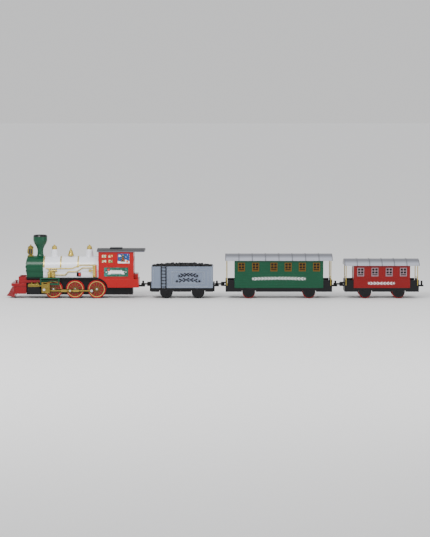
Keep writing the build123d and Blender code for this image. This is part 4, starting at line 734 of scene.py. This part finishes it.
def snowfall(name):
    """A printed night sky with small round flakes."""
    def paint(tree):
        flakes = tree.nodes.new("ShaderNodeTexVoronoi")
        flakes.inputs["Scale"].default_value = 420.0
        tree.links.new(tree.nodes.new("ShaderNodeTexCoord").outputs["Object"], flakes.inputs["Vector"])
        return mixed(tree, maths(tree, "LESS_THAN", flakes.outputs["Distance"], 0.2), NIGHT, (0.7, 0.72, 0.8))
    return plastic(name, NIGHT, roughness=0.25, coat=0.3, highlight_strength=0.0, paint=paint)


def winter_picture(x0, z0, face):
    """The cab's larger picture: a night sky, a moon, a snowy hill, a tree with a star, and a parcel.

    x0 and z0 are its lower front corner, and the places inside it are measured from there.
    """
    width, height = (size * MM for size in picture_size)
    layer = 0.12 * MM
    sky = block((x0, face, z0), (x0 + width, face + 0.32 * MM, z0 + height), 0.1 * MM)
    both_sides([sky], "picture_sky", snowfall("night_sky_print"), "white_plastic")
    hill = block((x0, face - layer, z0), (x0 + width, face, z0 + 3.6 * MM), 0.05 * MM)
    knoll = disc(x0 + 14.5 * MM, z0 + 3.2 * MM, 3.2 * MM, face)
    moon = disc(x0 + 3.6 * MM, z0 + 13.4 * MM, 2.0 * MM, face)
    both_sides([hill, knoll, moon], "picture_snow", print_white, "white_plastic")
    tiers = []
    tree_x = x0 + 9.4 * MM
    for n, (size, z) in enumerate(((5.4, 5.4), (4.5, 8.4), (3.5, 11.2))):
        tiers.append(tier(tree_x, z0 + z * MM, size * MM, face - (0.3 + 0.1 * n) * MM))
    both_sides(tiers, "picture_tree", green, "green_plastic")
    baubles = [disc(tree_x + dx * MM, z0 + dz * MM, 0.75 * MM, face - 0.42 * MM)
               for dx, dz in ((-2.6, 4.2), (1.0, 4.9), (3.0, 4.0), (-1.0, 7.6), (1.7, 7.4), (0.0, 10.2))]
    parcel = block((x0 + 15.2 * MM, face - 0.5 * MM, z0 + 1.4 * MM), (x0 + 18.8 * MM, face, z0 + 5.0 * MM),
                   0.1 * MM)
    both_sides([*baubles, parcel], "picture_baubles", knob_red, "red_plastic")
    star = moved(crystal(4.0 * MM, 0.2 * MM), (tree_x, face - 0.6 * MM, z0 + 14.2 * MM))
    band = block((x0 + 16.6 * MM, face - 0.62 * MM, z0 + 1.4 * MM), (x0 + 17.4 * MM, face, z0 + 5.0 * MM),
                 0.05 * MM)
    both_sides([star, band], "picture_star", star_print, "gilt_plastic")


def tier(x, z, size, back_y):
    """One tier of a tree: a flat triangle with softened corners."""
    deselect()
    bpy.ops.mesh.primitive_circle_add(vertices=3, radius=size, fill_type="NGON", location=(x, back_y, z),
                                      rotation=(math.radians(90), 0, 0))
    piece = bpy.context.object
    settle(piece)
    edit_all()
    bpy.ops.mesh.bevel(offset=size * 0.08, segments=2, affect="VERTICES")
    bpy.ops.mesh.extrude_region_move(TRANSFORM_OT_translate={"value": (0, -0.1 * MM, 0)})
    bpy.ops.mesh.select_all(action="SELECT")
    bpy.ops.mesh.normals_make_consistent(inside=False)
    bpy.ops.object.mode_set(mode="OBJECT")
    return piece


def moved(piece, offset):
    """The piece, its mesh moved."""
    piece.data.transform(Matrix.Translation(offset))
    return piece


def disc(x, z, radius, back_y):
    """A thin round plate that faces -Y, its rim rounded."""
    deselect()
    bpy.ops.mesh.primitive_cylinder_add(vertices=40, radius=radius, depth=0.3 * MM,
                                        location=(x, back_y - 0.13 * MM, z),
                                        rotation=(math.radians(90), 0, 0))
    piece = bpy.context.object
    settle(piece)
    edit_all()
    bpy.ops.mesh.bevel(offset=0.1 * MM, segments=1, affect="EDGES")
    bpy.ops.object.mode_set(mode="OBJECT")
    return piece


def both_sides(pieces, name, material, slot, body="locomotive"):
    """Joins left-hand pieces and their mirrored twins into one piece."""
    left = joined(pieces) if len(pieces) > 1 else pieces[0]
    return finish(joined([left, other_side(left)]), name, body, material, slot)


def ribbon_tail(x, z, way, back_y):
    """One end of a ribbon, cut to a swallow tail."""
    deselect()
    bpy.ops.mesh.primitive_grid_add(x_subdivisions=2, y_subdivisions=2, size=5.4 * MM,
                                    location=(x, back_y, z), rotation=(math.radians(90), 0, 0))
    piece = bpy.context.object
    settle(piece)
    for part in (*piece.data.polygons, *piece.data.edges):
        part.select = False
    for vertex in piece.data.vertices:
        vertex.select = abs(vertex.co.z - z) < 0.1 * MM and (vertex.co.x - x) * way > 1 * MM
    bpy.ops.object.mode_set(mode="EDIT")
    bpy.ops.transform.translate(value=(-way * 2.2 * MM, 0, 0))
    bpy.ops.mesh.select_all(action="SELECT")
    bpy.ops.mesh.extrude_region_move(TRANSFORM_OT_translate={"value": (0, -0.2 * MM, 0)})
    bpy.ops.mesh.select_all(action="SELECT")
    bpy.ops.mesh.normals_make_consistent(inside=False)
    bpy.ops.object.mode_set(mode="OBJECT")
    return piece


def cab_plaque():
    """The green plaque in its raised border, with a blank white ribbon, two crystals and three berries."""
    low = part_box("cab")[0]
    x0, x1 = (low.x + end * MM for end in plaque_span)
    z0, z1 = (low.z + row * MM for row in plaque_rows)
    wall = cab_wall * MM
    greens = [PLAQUE, (0.003, 0.06, 0.035), TEAL, (0.006, 0.12, 0.06)]
    foliage = printed("foliage_print", greens, 330.0, PLAQUE)
    face = -wall - paper * MM
    board = block((x0 + 0.05 * MM, face, z0 + 0.05 * MM), (x1 - 0.05 * MM, -wall + 0.02 * MM, z1 - 0.05 * MM),
                  0.1 * MM)
    both_sides([board], "plaque", foliage, "green_plastic")
    middle, centre = (x0 + x1) / 2, (z0 + z1) / 2
    ribbon = [block((middle - 10.6 * MM, face - paper * MM, centre - 3.3 * MM),
                    (middle + 10.6 * MM, face, centre + 3.3 * MM), 0.12 * MM)]
    for way in (-1, 1):
        ribbon.append(ribbon_tail(middle + way * 12.6 * MM, centre - 1.2 * MM, way, face))
    both_sides(ribbon, "plaque_ribbon", print_white, "white_plastic")
    stripes = []
    for dz in (-2.2, 2.2):
        stripes.append(block((middle - 8.6 * MM, face - 0.5 * MM, centre + (dz - 0.25) * MM),
                             (middle + 8.6 * MM, face - 0.3 * MM, centre + (dz + 0.25) * MM), 0.04 * MM))
    both_sides(stripes, "ribbon_stripes", print_black, "black_plastic")
    crystals = [moved(crystal(3.4 * MM, 0.25 * MM), (middle + way * 17.4 * MM, face - 0.25 * MM, centre))
                for way in (-1, 1)]
    both_sides(crystals, "plaque_rosettes", print_white, "white_plastic")
    berries = [disc(middle + dx * MM, centre + dz * MM, 1.15 * MM, face - 0.3 * MM)
               for dx, dz in ((-14.6, 4.6), (-12.6, 5.2), (-13.3, 3.2))]
    both_sides(berries, "plaque_berries", knob_red, "red_plastic")


def lantern_windows():
    """Two dark panes with a bar between them, in each side of the lantern."""
    low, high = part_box("headlight_housing")
    x, z = (low.x + high.x) / 2, low.z + 11.0 * MM
    panes = [block((x - 3.0 * MM, -4.8 * MM, z - 4.4 * MM), (x - 0.4 * MM, -4.5 * MM, z + 4.4 * MM),
                   0.1 * MM),
             block((x + 0.4 * MM, -4.8 * MM, z - 4.4 * MM), (x + 3.0 * MM, -4.5 * MM, z + 4.4 * MM),
                   0.1 * MM)]
    both_sides(panes, "lantern_panes", dark_glass, "black_plastic")


def valve_stand_strip():
    """The red strip along the rear edge of the valve stand, on both sides of the boiler."""
    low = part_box("boiler_shell")[0]
    front, foot = low.x + strip_start * MM, low.z + 1.2 * MM
    strip = block((front, -20.4 * MM, foot),
                  (front + strip_size[0] * MM, -19.15 * MM, foot + strip_size[1] * MM), 0.3 * MM)
    both_sides([strip], "valve_stand_strips", knob_red, "red_plastic")


# ---- studio
def studio():
    """A plain pale floor under a wide overhead glow, a key light and a fill."""
    deselect()
    bpy.ops.mesh.primitive_plane_add(size=60, location=(0, 0, 0))
    floor = bpy.context.object
    floor.name = "studio_floor"
    floor.data.materials.append(plastic("studio_floor_finish", (0.84, 0.835, 0.83), roughness=0.7,
                                        highlight_strength=0.0, grain=60.0, cloud=0.01))
    studio_world()
    soft_sun = bpy.data.lights.new("overhead", "SUN")
    soft_sun.energy = 0.75
    soft_sun.angle = math.radians(120)
    bpy.context.scene.collection.objects.link(bpy.data.objects.new("overhead", soft_sun))
    # each lamp's name, place, power in watts and size
    lamps = (("key", (-0.65, -1.2, 1.15), 19.0, 0.7), ("fill", (0.9, -1.1, 0.5), 5.0, 0.8))
    for name, place, power, size in lamps:
        light = bpy.data.lights.new(name, "AREA")
        light.energy = power
        light.size = size
        lamp = bpy.data.objects.new(name, light)
        lamp.location = place
        lamp.rotation_euler = (Vector((0, 0, 0.04)) - Vector(place)).to_track_quat("-Z", "Y").to_euler()
        bpy.context.scene.collection.objects.link(lamp)


def studio_world():
    """A soft dome of light that meets the far floor without a clear line."""
    world = bpy.data.worlds.new("studio_world")
    world.use_nodes = True
    tree = world.node_tree
    parts = tree.nodes.new("ShaderNodeSeparateXYZ")
    tree.links.new(tree.nodes.new("ShaderNodeTexCoord").outputs["Generated"], parts.inputs[0])
    climb = maths(tree, "MAXIMUM", maths(tree, "MULTIPLY", parts.outputs["Z"], 3.0), 0.0)
    height = maths(tree, "MINIMUM", climb, 1.0)
    background = tree.nodes["Background"]
    tree.links.new(mixed(tree, height, (0.800, 0.800, 0.805), (0.780, 0.790, 0.810)),
                   background.inputs["Color"])
    bpy.context.scene.world = world


def camera():
    """A long lens that looks at the left side from slightly above, with the train across the picture."""
    elevation = math.radians(5)
    distance, view_width = 3.4, 0.775
    target = Vector((0, 0, 0.052))
    view = bpy.data.cameras.new("camera")
    view.sensor_fit = "HORIZONTAL"
    view.sensor_width = 36
    view.lens = 36 * distance / view_width
    view.clip_end = 60
    eye = bpy.data.objects.new("camera", view)
    eye.location = target + Vector((0, -math.cos(elevation), math.sin(elevation))) * distance
    eye.rotation_euler = (target - eye.location).to_track_quat("-Z", "Y").to_euler()
    bpy.context.scene.collection.objects.link(eye)
    bpy.context.scene.camera = eye


dress_frame()
coal_lumps()
smokebox_rivets()
garlands()
cab_stickers()
cab_plaque()
valve_stand_strip()
lantern_windows()
studio()
camera()
